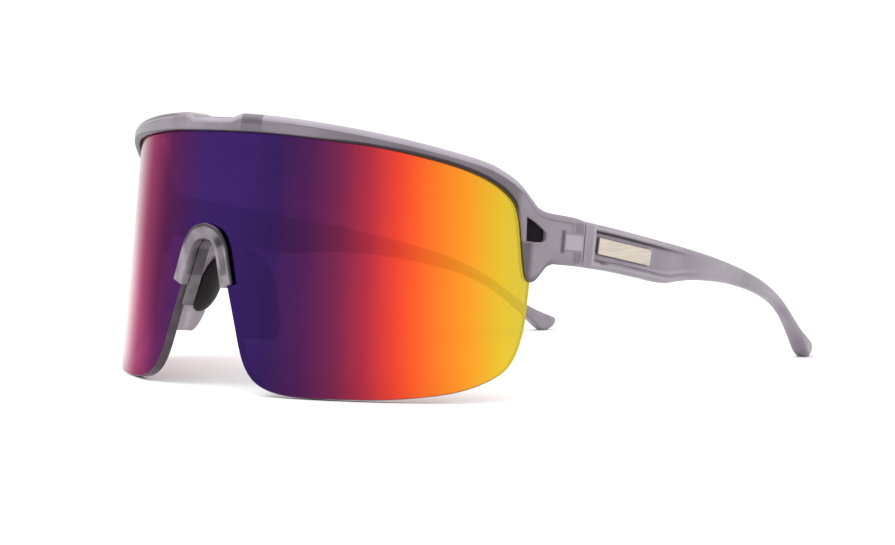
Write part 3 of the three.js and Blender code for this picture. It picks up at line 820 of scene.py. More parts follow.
@dataclass
class ShieldLens:
    """The one-piece lens: a cylinder wall between a lower edge with the nose cut-out and an upper edge."""

    shield: ShieldFrame
    samples: int = 420
    rows: int = 26
    chamfer: float = 0.14

    def edges(self) -> tuple[Array, Array, Array]:
        """Path distances of the columns of one half, with their lower and upper ends.

        Returns:
            Distance, lower height and upper height of each column.
        """
        run = LENS.half_arc - LENS.foot_half
        outer = [(0.144, 0.3), (0.418, 1.4), (0.683, 3.7), (0.851, 6.9)]
        outer += [(0.944, 10.7), (0.989, 17.1), (1, 26.2)]
        outer = [(LENS.foot_half + share * run, LENS.foot + rise) for share, rise in outer]
        lower = rounded_line([*NOSE_CUT, *outer], self.samples)
        lower = lower[np.concatenate([[True], np.diff(np.maximum.accumulate(lower[:, 0])) > 1e-4])]
        s = np.union1d(lower[:, 0], [LENS.tab_from - 0.02, LENS.tab_from, LENS.tab_to, LENS.tab_to + 0.02])
        low = np.interp(s, lower[:, 0], lower[:, 1])
        lug_low = LENS.top - LENS.lug_bottom
        lug = np.array([0.005, LENS.lug_reach - 0.8, LENS.lug_reach - 0.3, LENS.lug_reach])
        s = np.concatenate([s, LENS.half_arc + lug])
        low = np.concatenate([low, lug_low + np.array([0, 0, 0.4, 1.0])])
        high = LENS.top - RIM(s) + LENS.tuck
        side = [LENS.half_arc - 2, LENS.half_arc - 1, LENS.half_arc + LENS.lug_reach]
        lug_top = LENS.top - LENS.lug_top
        high = np.minimum(high, np.interp(s, side, [99.0, lug_top + 0.6, lug_top - 1.4]))
        high = high + LENS.tab_rise * ((s >= LENS.tab_from) & (s <= LENS.tab_to))
        return s, low, high

    def build(self) -> bpy.types.Object:
        """Sweeps an upright section along the arc: front face up, top edge, back face down, lower edge.

        Returns:
            The lens, with its front, back, edges and lugs in four material slots.
        """
        s, low, high = self.edges()
        s = np.concatenate([-s[:0:-1], s])
        low = np.concatenate([low[:0:-1], low])
        high = np.concatenate([high[:0:-1], high])
        share = np.linspace(0, 1, self.rows)
        cut = self.chamfer
        face = (low + cut)[:, None] + (high - low - 2 * cut)[:, None] * share
        front, back = np.zeros_like(face), np.full_like(face, LENS.thickness)
        over = np.stack([high, high], 1)
        under = np.stack([low, low], 1)
        bevel = np.array([cut, LENS.thickness - cut]) + np.zeros_like(over)
        depth = np.concatenate([front, bevel, back, bevel[:, ::-1]], 1)
        height = np.concatenate([face, over, face[:, ::-1], under], 1)
        rings = self.shield.place(s[:, None] + 0 * depth, depth, height)
        obj = new_object("lens_shield", rings, skin(rings), 30)
        size = rings.shape[1]
        point = np.tile(np.arange(size), len(s) - 1)
        slot = np.full(len(point), 2)
        slot[point < self.rows - 1] = 0
        slot[(point >= self.rows + 2) & (point < 2 * self.rows + 1)] = 1
        middle = rings.reshape(len(s), size, 3)
        at, up = self.shield.unroll((middle[:-1] + middle[1:]).reshape(-1, 3) / 2)
        # Front faces under the end piece take the near-black lug finish: the lens's dark tint, with painted
        # shade where it shows in the end piece's window.
        hidden = (at > LENS.half_arc - 2.6) & (up > LENS.top - 19.4) & (slot == 0)
        slot[hidden] = 3
        obj.data.polygons.foreach_set("material_index", np.concatenate([slot, [2, 2]]).astype(np.int32))
        return obj


@dataclass
class BrowFrame:
    """The half-rim brow with its end pieces: a rounded section that runs from hinge to hinge."""

    shield: ShieldFrame
    front: float = 1.7
    depth: float = 4.3
    end_front: float = 1.16
    end_depth: float = 3.6
    height: float = 3.68
    notch: float = 0.6
    edge: float = 0.95
    side_points: int = 46

    def upper(self, s: Array) -> Array:
        """Height of the upper edge along the path."""
        end, butt, high = LENS.half_arc, self.shield.butt, self.height
        knots = [(0, self.notch - high), (5.5, self.notch - high), (8.9, -high - 0.3), (0.241 * end, -high)]
        knots += [(share * end, drop - high) for share, drop in [(0.399, 0.9), (0.574, 2.4), (0.744, 4.5)]]
        knots += [(0.857 * end, 6.4 - high), (end - 6.5, 8.3 - high), (end - 4.2, 9.8 - high)]
        knots += [(end - 1.9, 12.1 - high), (end - 0.7, 13.4 - high), (end + 0.5, ARM.drop - 1.7)]
        knots += [(end + 2.8, ARM.drop - 0.9), (end + 5, ARM.drop - 0.7), (butt - 1.6, ARM.drop - 0.3)]
        return LENS.top - Profile([*knots, (butt, ARM.drop)])(s)

    def lower(self, s: Array) -> Array:
        """Height of the lower edge along the path, round the end piece's lobe."""
        end, butt, foot = LENS.half_arc, self.shield.butt, ARM.drop + ARM.height
        rim = list(zip(RIM.x, RIM.y))
        lobe = [(-2.6, 17.8), (-1.7, 23.0), (-0.9, 25.9), (0, 26.5)]
        lobe += [(0.9, 26.1), (2.4, 24.1), (3.4, 22.9), (5, foot)]
        return LENS.top - Profile([*rim, *[(end + at, drop) for at, drop in lobe], (butt, foot)])(s)

    def stations(self) -> Array:
        """Path distances of the sections, closer together round the notch, the tabs and the lobe."""
        end, butt = LENS.half_arc, self.shield.butt
        half = np.concatenate(
            [
                np.linspace(0, 16, 40, endpoint=False),
                np.linspace(16, end - 8, 90, endpoint=False),
                np.linspace(end - 8, end - 3.4, 24, endpoint=False),
                np.linspace(end - 3.4, end + 5, 96, endpoint=False),
                np.linspace(end + 5, butt, 24),
            ]
        )
        return np.concatenate([-half[:0:-1], half])

    def blank(self) -> bpy.types.Object:
        """Skins the rounded sections before anything is cut."""
        s = self.stations()
        a = np.abs(s)
        turn = [LENS.half_arc - 8, LENS.half_arc + 4]
        front = np.interp(a, turn, [self.front, self.end_front])
        back = np.interp(a, turn, [self.depth, self.end_depth])
        edge = np.full_like(a, self.edge)
        t, h, _ = ring_box(-front, back, self.lower(a), self.upper(a), edge, self.side_points)
        rings = self.shield.place(s[:, None] + 0 * t, t, h)
        return new_object("brow_shell", rings, skin(rings), 40)

    def groove(self) -> bpy.types.Object:
        """The space of the lens's upper edge, with its clearance."""
        reach = LENS.half_arc + CLEARANCE
        s = np.linspace(-reach, reach, 341)
        a = np.abs(s)
        lugs = LENS.top - LENS.lug_top + 0.9
        high = np.minimum(LENS.top - RIM(a) + LENS.tuck, np.interp(a, [reach - 2.3, reach], [99.0, lugs]))
        high = high + CLEARANCE + LENS.tab_rise * ease(a, 8.6, 8.8) * (1 - ease(a, 14.7, 14.9))
        low, near, far = 0 * s - 10, -CLEARANCE + 0 * s, LENS.thickness + CLEARANCE + 0 * s
        t, h = np.stack([near, near, far, far], 1), np.stack([low, high, high, low], 1)
        rings = self.shield.place(s[:, None] + 0 * t, t, h)
        return new_object("groove", rings, skin(rings))

    def window(self, side: Side) -> bpy.types.Object:
        """The opening that the lens's lug shows through: an outline pushed square to the lens's end."""
        reach = LENS.lug_reach
        outline = [(-1.9, -18.0), (0.2, -18.1), (1.9, -17.9), (reach + 0.4, -17.3), (reach + 0.4, -16.0)]
        outline += [(reach - 0.2, -15.3), (-0.2, -13.9), (-2.2, -12.9)]
        along, up = np.array(outline).T
        angle = LENS.half_arc / LENS.radius
        out = self.shield.heading(angle)
        at = self.shield.flat(LENS.half_arc, 0.0)
        tangent = np.array([-out[1], out[0]])
        plan = at + along[:, None] * tangent
        rings = np.stack([np.column_stack([plan + push * out, LENS.top + up]) for push in (-0.2, 10)])
        rings[..., 0] *= side.value
        rings = self.shield.packed(rings)
        return new_object("window", rings, skin(rings))

    def build(self, tongues: list[bpy.types.Object]) -> bpy.types.Object:
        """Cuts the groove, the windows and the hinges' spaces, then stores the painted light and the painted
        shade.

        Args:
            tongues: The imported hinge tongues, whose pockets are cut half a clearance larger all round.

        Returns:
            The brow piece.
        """
        obj = self.blank()
        combine(obj, self.groove(), "DIFFERENCE")
        for side, tongue in zip(Side, tongues):
            combine(obj, self.window(side), "DIFFERENCE")
            middle = LENS.top - ARM.drop - ARM.height / 2
            space = bar(self.shield, side, HINGE.turning_radius, middle - 9, middle + 9, "space")
            combine(obj, space, "DIFFERENCE")
            pocket = copy_of(tongue, "pocket", 30)
            grow(pocket, CLEARANCE / 2 * MM)
            combine(obj, pocket, "DIFFERENCE")
        face_out(obj.data)
        smooth(obj.data, 40)
        self.shade(obj.data)
        return obj

    def shade(self, mesh: bpy.types.Mesh) -> None:
        """Stores the dark line along the lens (painted shadow of the groove, with the lens's edge seen
        through), the painted shade over the lower band, the hinge seen through the end piece and the painted
        highlight along the upper band, by each vertex's distance along the path and its height above the
        lens's rim.

        Args:
            mesh: The brow's mesh.
        """
        co = np.empty(len(mesh.vertices) * 3)
        mesh.vertices.foreach_get("co", co)
        s, h = self.shield.unroll(co.reshape(-1, 3))
        end, butt, top = LENS.half_arc, self.shield.butt, LENS.top - ARM.drop
        above, below = h - self.lower(s), self.upper(s) - h
        right = ease(-co.reshape(-1, 3)[:, 0], 0.002, 0.004)
        on_brow = 1 - ease(s, end - 4.5, end - 3)
        # The dark line along the lens: painted shadow of the groove, with the lens's dark edge seen through
        # the plastic; it thickens towards the ends.
        line = 0.22 + 0.62 * ease(s, 8, 60)
        dark = 0.95 * (1 - ease(above, line - 0.12, line + 0.2)) * on_brow
        # Painted shade over the lower band of the brow's face, below the lit upper band; stronger towards the
        # ends, weaker on the wearer's right.
        middle = 0.42 * ease(below, 1.3, 1.6) * on_brow * (0.35 + 0.65 * ease(s, 18, 40)) * (1 - 0.6 * right)
        # A dark streak along the top bevel on the wearer's right.
        streak = 0.75 * right * band(s, 12, 38, 4.0) * band(below, 0.25, 0.8, 0.25)
        # Painted shade: a dark line along the top edge of the centre notch.
        line_top = 0.6 * (1 - ease(s, 5.5, 7.5)) * band(below, -1.0, 0.22, 0.1)
        # The lens's tabs seen through the brow, darker in their upper part.
        tab = band(s, LENS.tab_from, LENS.tab_to, 0.15) * (0.34 + 0.22 * ease(above, 1.7, 2.0))
        tab = tab * (1 - 0.6 * right)
        # A dark strip where the lens's end meets the lobe, stopping below the window.
        strip = ease(s, end - 3.4, end - 3.0) * (1 - ease(s, end - 1.2, end + 0.3))
        strip = strip * (1 - ease(h, 38.0, 38.8))
        # Darker along the lobe's lower edge.
        lobe = 0.5 * (1 - ease(above, 0.4, 1.7)) * ease(s, end - 3, end - 1) * (1 - ease(s, end + 3, end + 6))
        # The hinge seen through the end piece: its slot, knuckle blocks, the lines over and under the tongue,
        # and a post, painted darker.
        drop = top - h
        slot = 0.72 * band(s, butt - 5.5, butt - 4.7, 0.25) * band(drop, 2.4, 7.2, 0.3)
        blocks = 0.34 * band(s, butt - 2.6, butt - 0.3, 0.3)
        blocks = blocks * (band(drop, 0.7, 2.8, 0.25) + band(drop, 6.8, 9.0, 0.25))
        above_tongue = band(drop, HINGE.tongue_top - 0.4, HINGE.tongue_top, 0.2)
        below_tongue = band(drop, HINGE.tongue_foot, HINGE.tongue_foot + 0.4, 0.2)
        frame = 0.22 * band(s, butt - 4.6, butt - 0.4, 0.2) * (above_tongue + below_tongue)
        # Painted shade of a thin crease under the upper band, from the centre to the end piece.
        crease_shade = 0.42 * band(below, 1.3, 1.55, 0.14) * ease(s, 16, 24) * (1 - ease(s, butt - 3.2, butt - 2.9))
        post = 0.3 * band(s, butt - 3.35, butt - 3.1, 0.12) * band(drop, 1.0, 3.0, 0.2)
        shade = np.maximum.reduce([dark, middle, streak, line_top, tab, 0.62 * strip, lobe, slot, blocks])
        shade = np.maximum.reduce([shade, frame, crease_shade, post])
        add_value(mesh, "shade", np.clip(shade, 0, 1))
        # Painted highlight: the upper band of the brow lit from above, weaker on the wearer's right.
        lit = 0.40 * (1 - ease(below, 1.1, 1.3)) * on_brow * (1 - 0.5 * right)
        # The hinge tongue seen through the end piece, painted lighter into the same attribute.
        on_tongue = band(drop, HINGE.tongue_top, HINGE.tongue_foot, 0.2)
        tongue = 0.30 * band(s, butt - 4.6, butt - 0.5, 0.2) * on_tongue
        add_value(mesh, "glow", np.clip(lit + tongue, 0, 1))


@dataclass
class TempleArm:
    """One arm: rounded sections along the bow, a recess for the badge, a ridge under it and the knuckles."""

    shield: ShieldFrame
    side: Side
    stations: int = 520
    side_points: int = 44
    edge: float = 1.3
    panel_from: float = 4.1
    panel_to: float = 60.0
    panel_inset: float = 1.4
    panel_depth: float = 0.7

    UPPER = Profile(
        [
            (0, 0),
            (0.11, 0.039),
            (0.25, 0.096),
            (0.4, 0.16),
            (0.49, 0.208),
            (0.575, 0.265),
            (0.672, 0.353),
            (0.724, 0.418),
            (0.78, 0.512),
            (0.825, 0.614),
            (0.867, 0.74),
            (0.9, 0.832),
            (0.94, 0.915),
            (1, 1),
        ]
    )
    LOWER = Profile(
        [
            (0, 0),
            (0.1, 0.023),
            (0.2, 0.069),
            (0.285, 0.106),
            (0.33, 0.07),
            (0.38, 0.034),
            (0.43, 0.018),
            (0.5, 0.014),
            (0.55, 0.024),
            (0.6, 0.05),
            (0.65, 0.085),
            (0.7, 0.14),
            (0.75, 0.213),
            (0.79, 0.3),
            (0.82, 0.39),
            (0.85, 0.495),
            (0.88, 0.615),
            (0.906, 0.735),
            (0.93, 0.86),
            (0.95, 0.96),
            (0.965, 1),
            (0.985, 0.95),
            (1, 0.86),
        ]
    )
    THICKNESS = Profile(
        [
            (0, ARM.thickness),
            (0.3, ARM.thickness),
            (0.6, ARM.waist_thickness),
            (0.8, ARM.waist_thickness),
            (0.93, ARM.tip_thickness),
            (0.98, ARM.tip_thickness - 0.8),
            (1, 1.6),
        ]
    )

    def tip_foot(self) -> float:
        """Height of the tip's underside: the ground, through the lens's lowest edge, less the worn flat."""
        ground = (0.0 - self.shield.shift[2]) / math.cos(self.shield.lean)
        y = self.shield.flat(self.shield.butt + ARM.stands_at * ARM.length, 0.0)[1]
        return ground + y * math.tan(self.shield.lean) - ARM.flat

    def build(self) -> bpy.types.Object:
        """Skins the sections, then fits the hinge, with its knuckles joined on and its spaces cut.

        Returns:
            The arm piece.
        """
        top, bottom, foot = LENS.top - ARM.drop, LENS.top - ARM.drop - ARM.height, self.tip_foot()
        rest = np.linspace(CLEARANCE / ARM.length, 1 - 0.9 / ARM.length, self.stations)
        u = np.concatenate([rest, 1 - 0.9 / ARM.length * (1 - np.sin(np.radians(np.linspace(9, 88, 9))))])
        low = bottom - (bottom - foot) * self.LOWER(u)
        high = top - (top - foot - ARM.tip_rise) * self.UPPER(u)
        thick = self.THICKNESS(u)
        middle = (ARM.thickness - thick) / 2 - ARM.proud + thick / 2
        closing = np.concatenate([np.ones(self.stations), np.cos(np.radians(np.linspace(9, 80, 9)))])
        half_t, mid_h, half_h = thick / 2 * closing, (low + high) / 2, (high - low) / 2 * closing
        edge = np.minimum(self.edge, half_t * 0.8)
        sides = (middle - half_t, middle + half_t, mid_h - half_h, mid_h + half_h)
        t, h, outer = ring_box(*sides, edge, self.side_points)
        along = (u * ARM.length)[:, None]
        hollow, shade, glow = self.relief(along, h, low[:, None], high[:, None])
        t = t + hollow * outer
        ground = self.shield.place(self.shield.butt + along + 0 * t, t, h)
        ground[..., 2] = np.maximum(ground[..., 2], 0.05 * MM)
        ground[..., 0] *= self.side.value
        obj = new_object(f"arm_{self.side.word}", ground, skin(ground), 50)
        # The relief's painted shade and painted light, on the outer face only.
        add_value(obj.data, "shade", shade * outer)
        add_value(obj.data, "glow", glow * outer)
        return self.hinged(obj, top, bottom)

    def relief(self, along: Array, h: Array, low: Array, high: Array) -> tuple[Array, Array, Array]:
        """Depth of the outer face's recess, groove and dimple, with the painted shade and the painted light
        that go with them.

        Args:
            along: Distance behind the butt.
            h: Heights of the section points.
            low: Lower edges.
            high: Upper edges.

        Returns:
            Depth in mm, painted shade and painted light, for each section point.
        """
        inside = np.minimum.reduce(
            [
                along - self.panel_from + 0 * h,
                self.panel_to - along + 0 * h,
                high - self.panel_inset - h,
                h - low - self.panel_inset - 0.1,
            ]
        )
        fade = 1 - ease(along, 26, 46)
        recess = ease(inside, 0, 0.55) * fade
        wall = np.exp(-(((inside - 0.25) / 0.32) ** 2)) * fade
        top_wall = wall * ease(h, (low + high) / 2, high - 1.5)
        ridge = h - low - 1.15 - 0.35 * ease(along, 8, 30)
        run = ease(along, 5, 8) * (1 - ease(along, 34, 52))
        groove = np.exp(-((ridge / 0.34) ** 2)) * run
        dimple = np.exp(-(((along - 7.4) / 1.5) ** 2) - ((h - low - 1.5) / 0.42) ** 2)
        plate = Badge(self.shield, self.side)
        from_x, from_y = plate.local(along, h)
        border = np.maximum(np.abs(from_x) - plate.length / 2, np.abs(from_y) - plate.height / 2)
        # Painted shade: a dark outline round the badge, where the recess wall falls in shadow.
        outline = 0.6 * band(border, -0.4, 0.22, 0.1)
        depth = self.panel_depth * recess + 0.20 * groove + 0.35 * dimple
        # Painted shade on the recess's walls, its top wall most, in the groove and the dimple, and faintly
        # over the recess.
        shade = 0.62 * top_wall + 0.30 * wall + 0.16 * groove + 0.6 * dimple + 0.06 * recess
        shade = np.clip(np.maximum(shade, outline), 0, 0.85)
        # Painted highlight along the recess's lip and above the groove.
        lip = np.exp(-(((inside + 0.5) / 0.4) ** 2)) * fade
        lip = lip + 0.8 * np.exp(-(((ridge - 0.75) / 0.4) ** 2)) * run
        return depth, shade, np.clip(0.32 * lip, 0, 1)

    def hinged(self, obj: bpy.types.Object, top: float, bottom: float) -> bpy.types.Object:
        """Joins the two knuckles on and cuts the spaces for the tongue, the screw and the nut.

        Args:
            obj: The plain arm.
            top: Height of the arm's upper edge at the hinge.
            bottom: Height of its lower edge there.

        Returns:
            The same object.
        """
        over_tongue, under_tongue = top - HINGE.tongue_top + CLEARANCE, top - HINGE.tongue_foot - CLEARANCE
        inset = HINGE.knuckle_inset
        for low, high in ((over_tongue, top - inset), (bottom + inset, under_tongue)):
            combine(obj, bar(self.shield, self.side, HINGE.knuckle_radius, low, high, "knuckle"), "UNION")
        for radius, low, high in (
            (HINGE.turning_radius, under_tongue, over_tongue),
            (HINGE.bore_radius, bottom - 1, top + 1),
            (HINGE.head_radius, top - HINGE.head_depth, top + 0.8),
            (HINGE.nut_radius, bottom - 0.8, bottom + HINGE.nut_depth),
        ):
            combine(obj, bar(self.shield, self.side, radius, low, high, "space"), "DIFFERENCE")
        face_out(obj.data)
        smooth(obj.data, 42)
        return obj


@dataclass
class Badge:
    """The blank plate in an arm's recess: a rounded rectangle with a chamfered face."""

    shield: ShieldFrame
    side: Side
    start: float = 5.4
    length: float = 19.8
    height: float = 3.45
    thickness: float = 0.45
    below: float = 2.8
    slope: float = 4.0
    corner: float = 0.35

    @property
    def middle(self) -> tuple[float, float]:
        """Distance behind the butt, and height, of the plate's centre."""
        half = self.length / 2
        high = LENS.top - ARM.drop - 0.35 - self.below
        return self.start + half, high - self.height / 2 - half * math.tan(math.radians(self.slope))

    def local(self, along: Array, h: Array) -> tuple[Array, Array]:
        """Distances from the plate's centre along its length and its height.

        Args:
            along: Distance behind the butt.
            h: Height up the lens.

        Returns:
            The two distances in mm, turned by the plate's slope.
        """
        at, up = self.middle
        cos, sin = math.cos(math.radians(self.slope)), math.sin(math.radians(self.slope))
        return (along - at) * cos - (h - up) * sin, (along - at) * sin + (h - up) * cos

    def build(self) -> bpy.types.Object:
        """Skins three copies of a rounded rectangle into a back, a side, a chamfer and a face.

        Returns:
            The badge piece.
        """
        arc = np.radians(np.linspace(0, 90, 6))
        half_l, half_h = self.length / 2, self.height / 2
        straight_l, straight_h = half_l - self.corner, half_h - self.corner
        x, y = [], []
        for right, up, start in ((1, 1, 0), (-1, 1, 90), (-1, -1, 180), (1, -1, 270)):
            angle = np.radians(start) + arc
            x.append(right * straight_l + self.corner * np.cos(angle))
            y.append(up * straight_h + self.corner * np.sin(angle))
        x, y = np.concatenate(x), np.concatenate(y)
        slope = math.radians(self.slope)
        middle_s, middle_h = self.middle
        middle_s = middle_s + self.shield.butt
        outside = ARM.proud - 0.7 + CLEARANCE
        layers = [(outside, 0.0), (outside + self.thickness - 0.1, 0.0), (outside + self.thickness, 0.1)]
        rings = []
        for proud, inset in layers:
            shrink_x, shrink_y = 1 - inset / half_l, 1 - inset / half_h
            s = middle_s + x * shrink_x * math.cos(slope) + y * shrink_y * math.sin(slope)
            h = middle_h - x * shrink_x * math.sin(slope) + y * shrink_y * math.cos(slope)
            rings.append(self.shield.place(s, np.full_like(s, -proud), h))
        rings = np.stack(rings)
        rings[..., 0] *= self.side.value
        return new_object(f"badge_plate_{self.side.word}", rings, skin(rings), 30)


@dataclass
class NosePiece:
    """The glossy saddle in front, the carrier with its two wings behind, and the two soft pads."""

    shield: ShieldFrame
    front: float = 1.08
    web: float = 0.8
    flange: float = 2.2
    saddle_drop: float = 11.1
    plate: float = 1.6
    plate_drop: float = 15.5
    wing_drop: float = 21.5
    wing_top_drop: float = 1.9
    wing_depth: float = 9.4
    wing_thickness: float = 1.4
    wing_splay: float = 16.0
    pad_drop: float = 10.7
    pad_height: float = 14.0
    pad_width: float = 7.6
    pad_dome: float = 3.0
    pad_side: float = 0.55
    pad_back: float = 6.4

    def line(self, foot: float, count: int) -> tuple[Array, Array]:
        """The cut-out's line from one foot over the crown to the other, and its normals towards the nose.

        Args:
            foot: Height of the two ends.
            count: Samples over both sides.

        Returns:
            Points and unit normals in x and height.
        """
        half = rounded_line(NOSE_CUT, 600)
        half = half[half[:, 1] > foot]
        whole = np.concatenate([half[:0:-1] * [-1, 1], half])
        step = np.concatenate([[0], np.cumsum(np.hypot(*np.diff(whole, axis=0).T))])
        even = np.linspace(0, step[-1], count)
        points = np.stack([np.interp(even, step, whole[:, i]) for i in (0, 1)], 1)
        along = np.gradient(points, axis=0)
        along /= np.linalg.norm(along, axis=1, keepdims=True)
        return points, np.stack([along[:, 1], -along[:, 0]], 1)

    def swept(
        self, name: str, foot: float, section: list[tuple[float, float]], radius: float
    ) -> bpy.types.Object:
        """Sweeps a rounded section along the cut-out's line: across is measured towards the nose from the
        line, depth from the lens's face.

        Args:
            name: The piece's name.
            foot: Height of the two ends.
            section: Corners as across and depth.
            radius: Rounding of the corners.

        Returns:
            The swept piece.
        """
        corners = np.array(section, float)
        before, after = np.roll(corners, 1, 0) - corners, np.roll(corners, -1, 0) - corners
        before /= np.linalg.norm(before, axis=1, keepdims=True)
        after /= np.linalg.norm(after, axis=1, keepdims=True)
        share = np.linspace(0, 1, 6)[None, :, None]
        start, end = (corners + radius * before)[:, None], (corners + radius * after)[:, None]
        curve = (1 - share) ** 2 * start + 2 * share * (1 - share) * corners[:, None] + share**2 * end
        curve = curve.reshape(-1, 2)
        closed = np.concatenate([curve, curve[:1]])
        run = np.concatenate([[0], np.cumsum(np.hypot(*np.diff(closed, axis=0).T))])
        even = np.linspace(0, run[-1], 104, endpoint=False)
        curve = np.stack([np.interp(even, run, closed[:, i]) for i in (0, 1)], 1)
        points, inward = self.line(foot, 150)
        across, level = curve[None, :, 0], curve[None, :, 1]
        drop, left = (LENS.crown - points[:, 1])[:, None], points[:, 0, None] > 0
        face = 1 - ease(level, -0.9, -0.6)
        groove = left * face * band(across, -1.3, 0.2, 0.25) * band(drop, 2.0, 9.0, 0.5)
        hole = left * face * band(across, -1.3, 0.3, 0.2) * band(drop, 1.3, 2.9, 0.3)
        x = points[:, 0, None] + inward[:, 0, None] * across
        h = points[:, 1, None] + inward[:, 1, None] * across
        y = LENS.radius - np.sqrt(LENS.radius**2 - x**2) + level + 0.4 * np.maximum(groove, hole)
        rings = self.shield.packed(np.stack([x, y, h], -1))
        obj = new_object(name, rings, skin(rings), 60)
        # Painted shade: darker on the inner, deeper faces, and on the web under the crown.
        inner, deep = np.clip((across + 0.4) / 1.2, 0, 1), ease(level, -0.9, 0.6)
        over = 0.75 * ease(-drop, -3.5, -0.5) * band(level, -0.8, 9.0, 0.4)
        # A painted dark reflection along the outer edge of the arch's crown.
        crown = 0.93 * face * (1 - ease(across, -1.7, -1.1)) * (1 - ease(drop, 2.6, 4.2))
        # A dark slot painted on the wearer's right inner wall, and a dark border along the left leg's outer
        # edge.
        slot = 0.75 * ~left * band(across, 0.6, 2.0, 0.2) * deep * band(drop, 2.6, 9.0, 0.5)
        outline = 0.9 * left * (1 - ease(across, -2.1, -1.8))
        # The shallow groove and the hole on the wearer's left leg are painted dark as their shade.
        marks = (0.35 * inner * deep + 0 * drop, over, 0.45 * groove, 0.97 * hole, crown, slot, outline)
        shade = np.maximum.reduce(np.broadcast_arrays(*marks))
        add_value(obj.data, "shade", np.clip(shade, 0, 0.97))
        return obj

    def saddle(self) -> bpy.types.Object:
        """The inverted U over the cut-out: a flange on the lens's face and a web through the cut-out."""
        inner, outer = CLEARANCE + self.web, -self.flange
        half = LENS.thickness / 2 - CLEARANCE / 2
        section = [
            (inner, half),
            (inner, -self.front),
            (outer, -self.front),
            (outer, -CLEARANCE),
            (CLEARANCE, -CLEARANCE),
            (CLEARANCE, half),
        ]
        return self.swept("nose_bridge_saddle", LENS.crown - self.saddle_drop, section, 0.3)

    def carrier(self) -> bpy.types.Object:
        """The arch behind the lens, with its web in the cut-out."""
        inner, outer = CLEARANCE + self.web, 0.6 - self.flange
        half = LENS.thickness / 2 + CLEARANCE / 2
        back = LENS.thickness + 1.5 * CLEARANCE
        section = [
            (inner, back + self.plate),
            (inner, half),
            (CLEARANCE, half),
            (CLEARANCE, back),
            (outer, back),
            (outer, back + self.plate),
        ]
        return self.swept("nose_carrier_arch", LENS.crown - self.plate_drop, section, 0.3)

    def edge_at(self, height: Array | float) -> Array:
        """Half width of the cut-out at a height."""
        half = rounded_line(NOSE_CUT, 600)
        return np.interp(height, half[::-1, 1], half[::-1, 0])

    def wing(self, side: Side) -> bpy.types.Object:
        """A splayed plate behind the cut-out's side: a rounded rectangle in plan, skinned up its heights.

        Args:
            side: Which wing.

        Returns:
            The wing piece.
        """
        foot, top = LENS.crown - self.wing_drop, LENS.crown - self.wing_top_drop
        pad = LENS.crown - self.pad_drop
        lower_half = [(foot, 0.75), (foot + 1.2, 0.88), (foot + 4.4, 1), (pad, 1)]
        depth = Profile([*lower_half, (pad + 4.5, 0.92), (top - 2.5, 0.78), (top, 0.5)])
        h = np.linspace(foot, top, 70)
        length = depth(h) * self.wing_depth
        zero = 0 * h
        across, along, _ = ring_box(zero, zero + self.wing_thickness, zero, length, np.full_like(h, 0.45), 4)
        closing = np.minimum(1, 0.72 + 0.28 * np.sqrt(np.clip((h - foot) / 0.5, 0, 1)))[:, None]
        across = self.wing_thickness / 2 + (across - self.wing_thickness / 2) * closing
        splay = math.radians(self.wing_splay)
        start = self.edge_at(h)[:, None] - 0.3
        x = start + along * math.sin(splay) + across * math.cos(splay)
        y = LENS.thickness + 1.5 * CLEARANCE + along * math.cos(splay) - across * math.sin(splay)
        rings = np.stack([side.value * x, y, h[:, None] + 0 * x], -1)
        rings = self.shield.packed(rings)
        obj = new_object(f"nose_wing_{side.word}", rings, skin(rings), 45)
        add_value(obj.data, "shade", 0.5 * ease(h, top - 6, top)[:, None] + 0 * x)
        return obj

    def pad(self, side: Side) -> bpy.types.Object:
        """Half of an egg on the wing's nose side, with a rolled rim: the dome is the pad's height times the
        square root of one less the squared radius, above a short straight side.

        Args:
            side: Which pad.

        Returns:
            The pad piece.
        """
        centre = LENS.crown - self.pad_drop
        reach = self.pad_height / 3
        lean = math.atan2(self.edge_at(centre - reach) - self.edge_at(centre + reach), 2 * reach)
        ring = np.linspace(0, 2 * math.pi, 72, endpoint=False)
        level = np.sin(np.radians(np.linspace(0, 88, 22)))
        radius = np.concatenate([[0.02], level[1:], [1.0, 0.96]])
        dome = np.concatenate([np.sqrt(np.clip(1 - radius[:-2] ** 2, 0, 1)), [0.0, -0.02]])
        egg = 1 + 0.14 * np.sin(ring)
        across = -(self.pad_dome - self.pad_side) * dome[:, None] - self.pad_side + 0 * ring
        along = radius[:, None] * np.cos(ring) * egg * self.pad_width / 2 * 0.97
        up = -radius[:, None] * np.sin(ring) * self.pad_height / 2 * 0.93
        x = across * math.cos(lean) - up * math.sin(lean)
        z = across * math.sin(lean) + up * math.cos(lean)
        y = along + self.pad_back
        splay = math.radians(self.wing_splay)
        x, y = x * math.cos(splay) + y * math.sin(splay), y * math.cos(splay) - x * math.sin(splay)
        x = x + self.edge_at(centre) + 0.2
        points = np.stack([side.value * x, y + LENS.thickness + 1.5 * CLEARANCE, z + centre], -1)
        points = self.shield.packed(points)
        return new_object(f"nose_cushion_{side.word}", points, skin(points), 55)


# ---- Studio --------------------------------------------------------------------------------------


def placed(right: Array, up: Array, back: Array, at: Colour) -> Matrix:
    """A matrix whose columns are three axes and a place."""
    rows = [[*map(float, (right[i], up[i], back[i], at[i]))] for i in range(3)]
    return Matrix([*rows, [0.0, 0.0, 0.0, 1.0]])


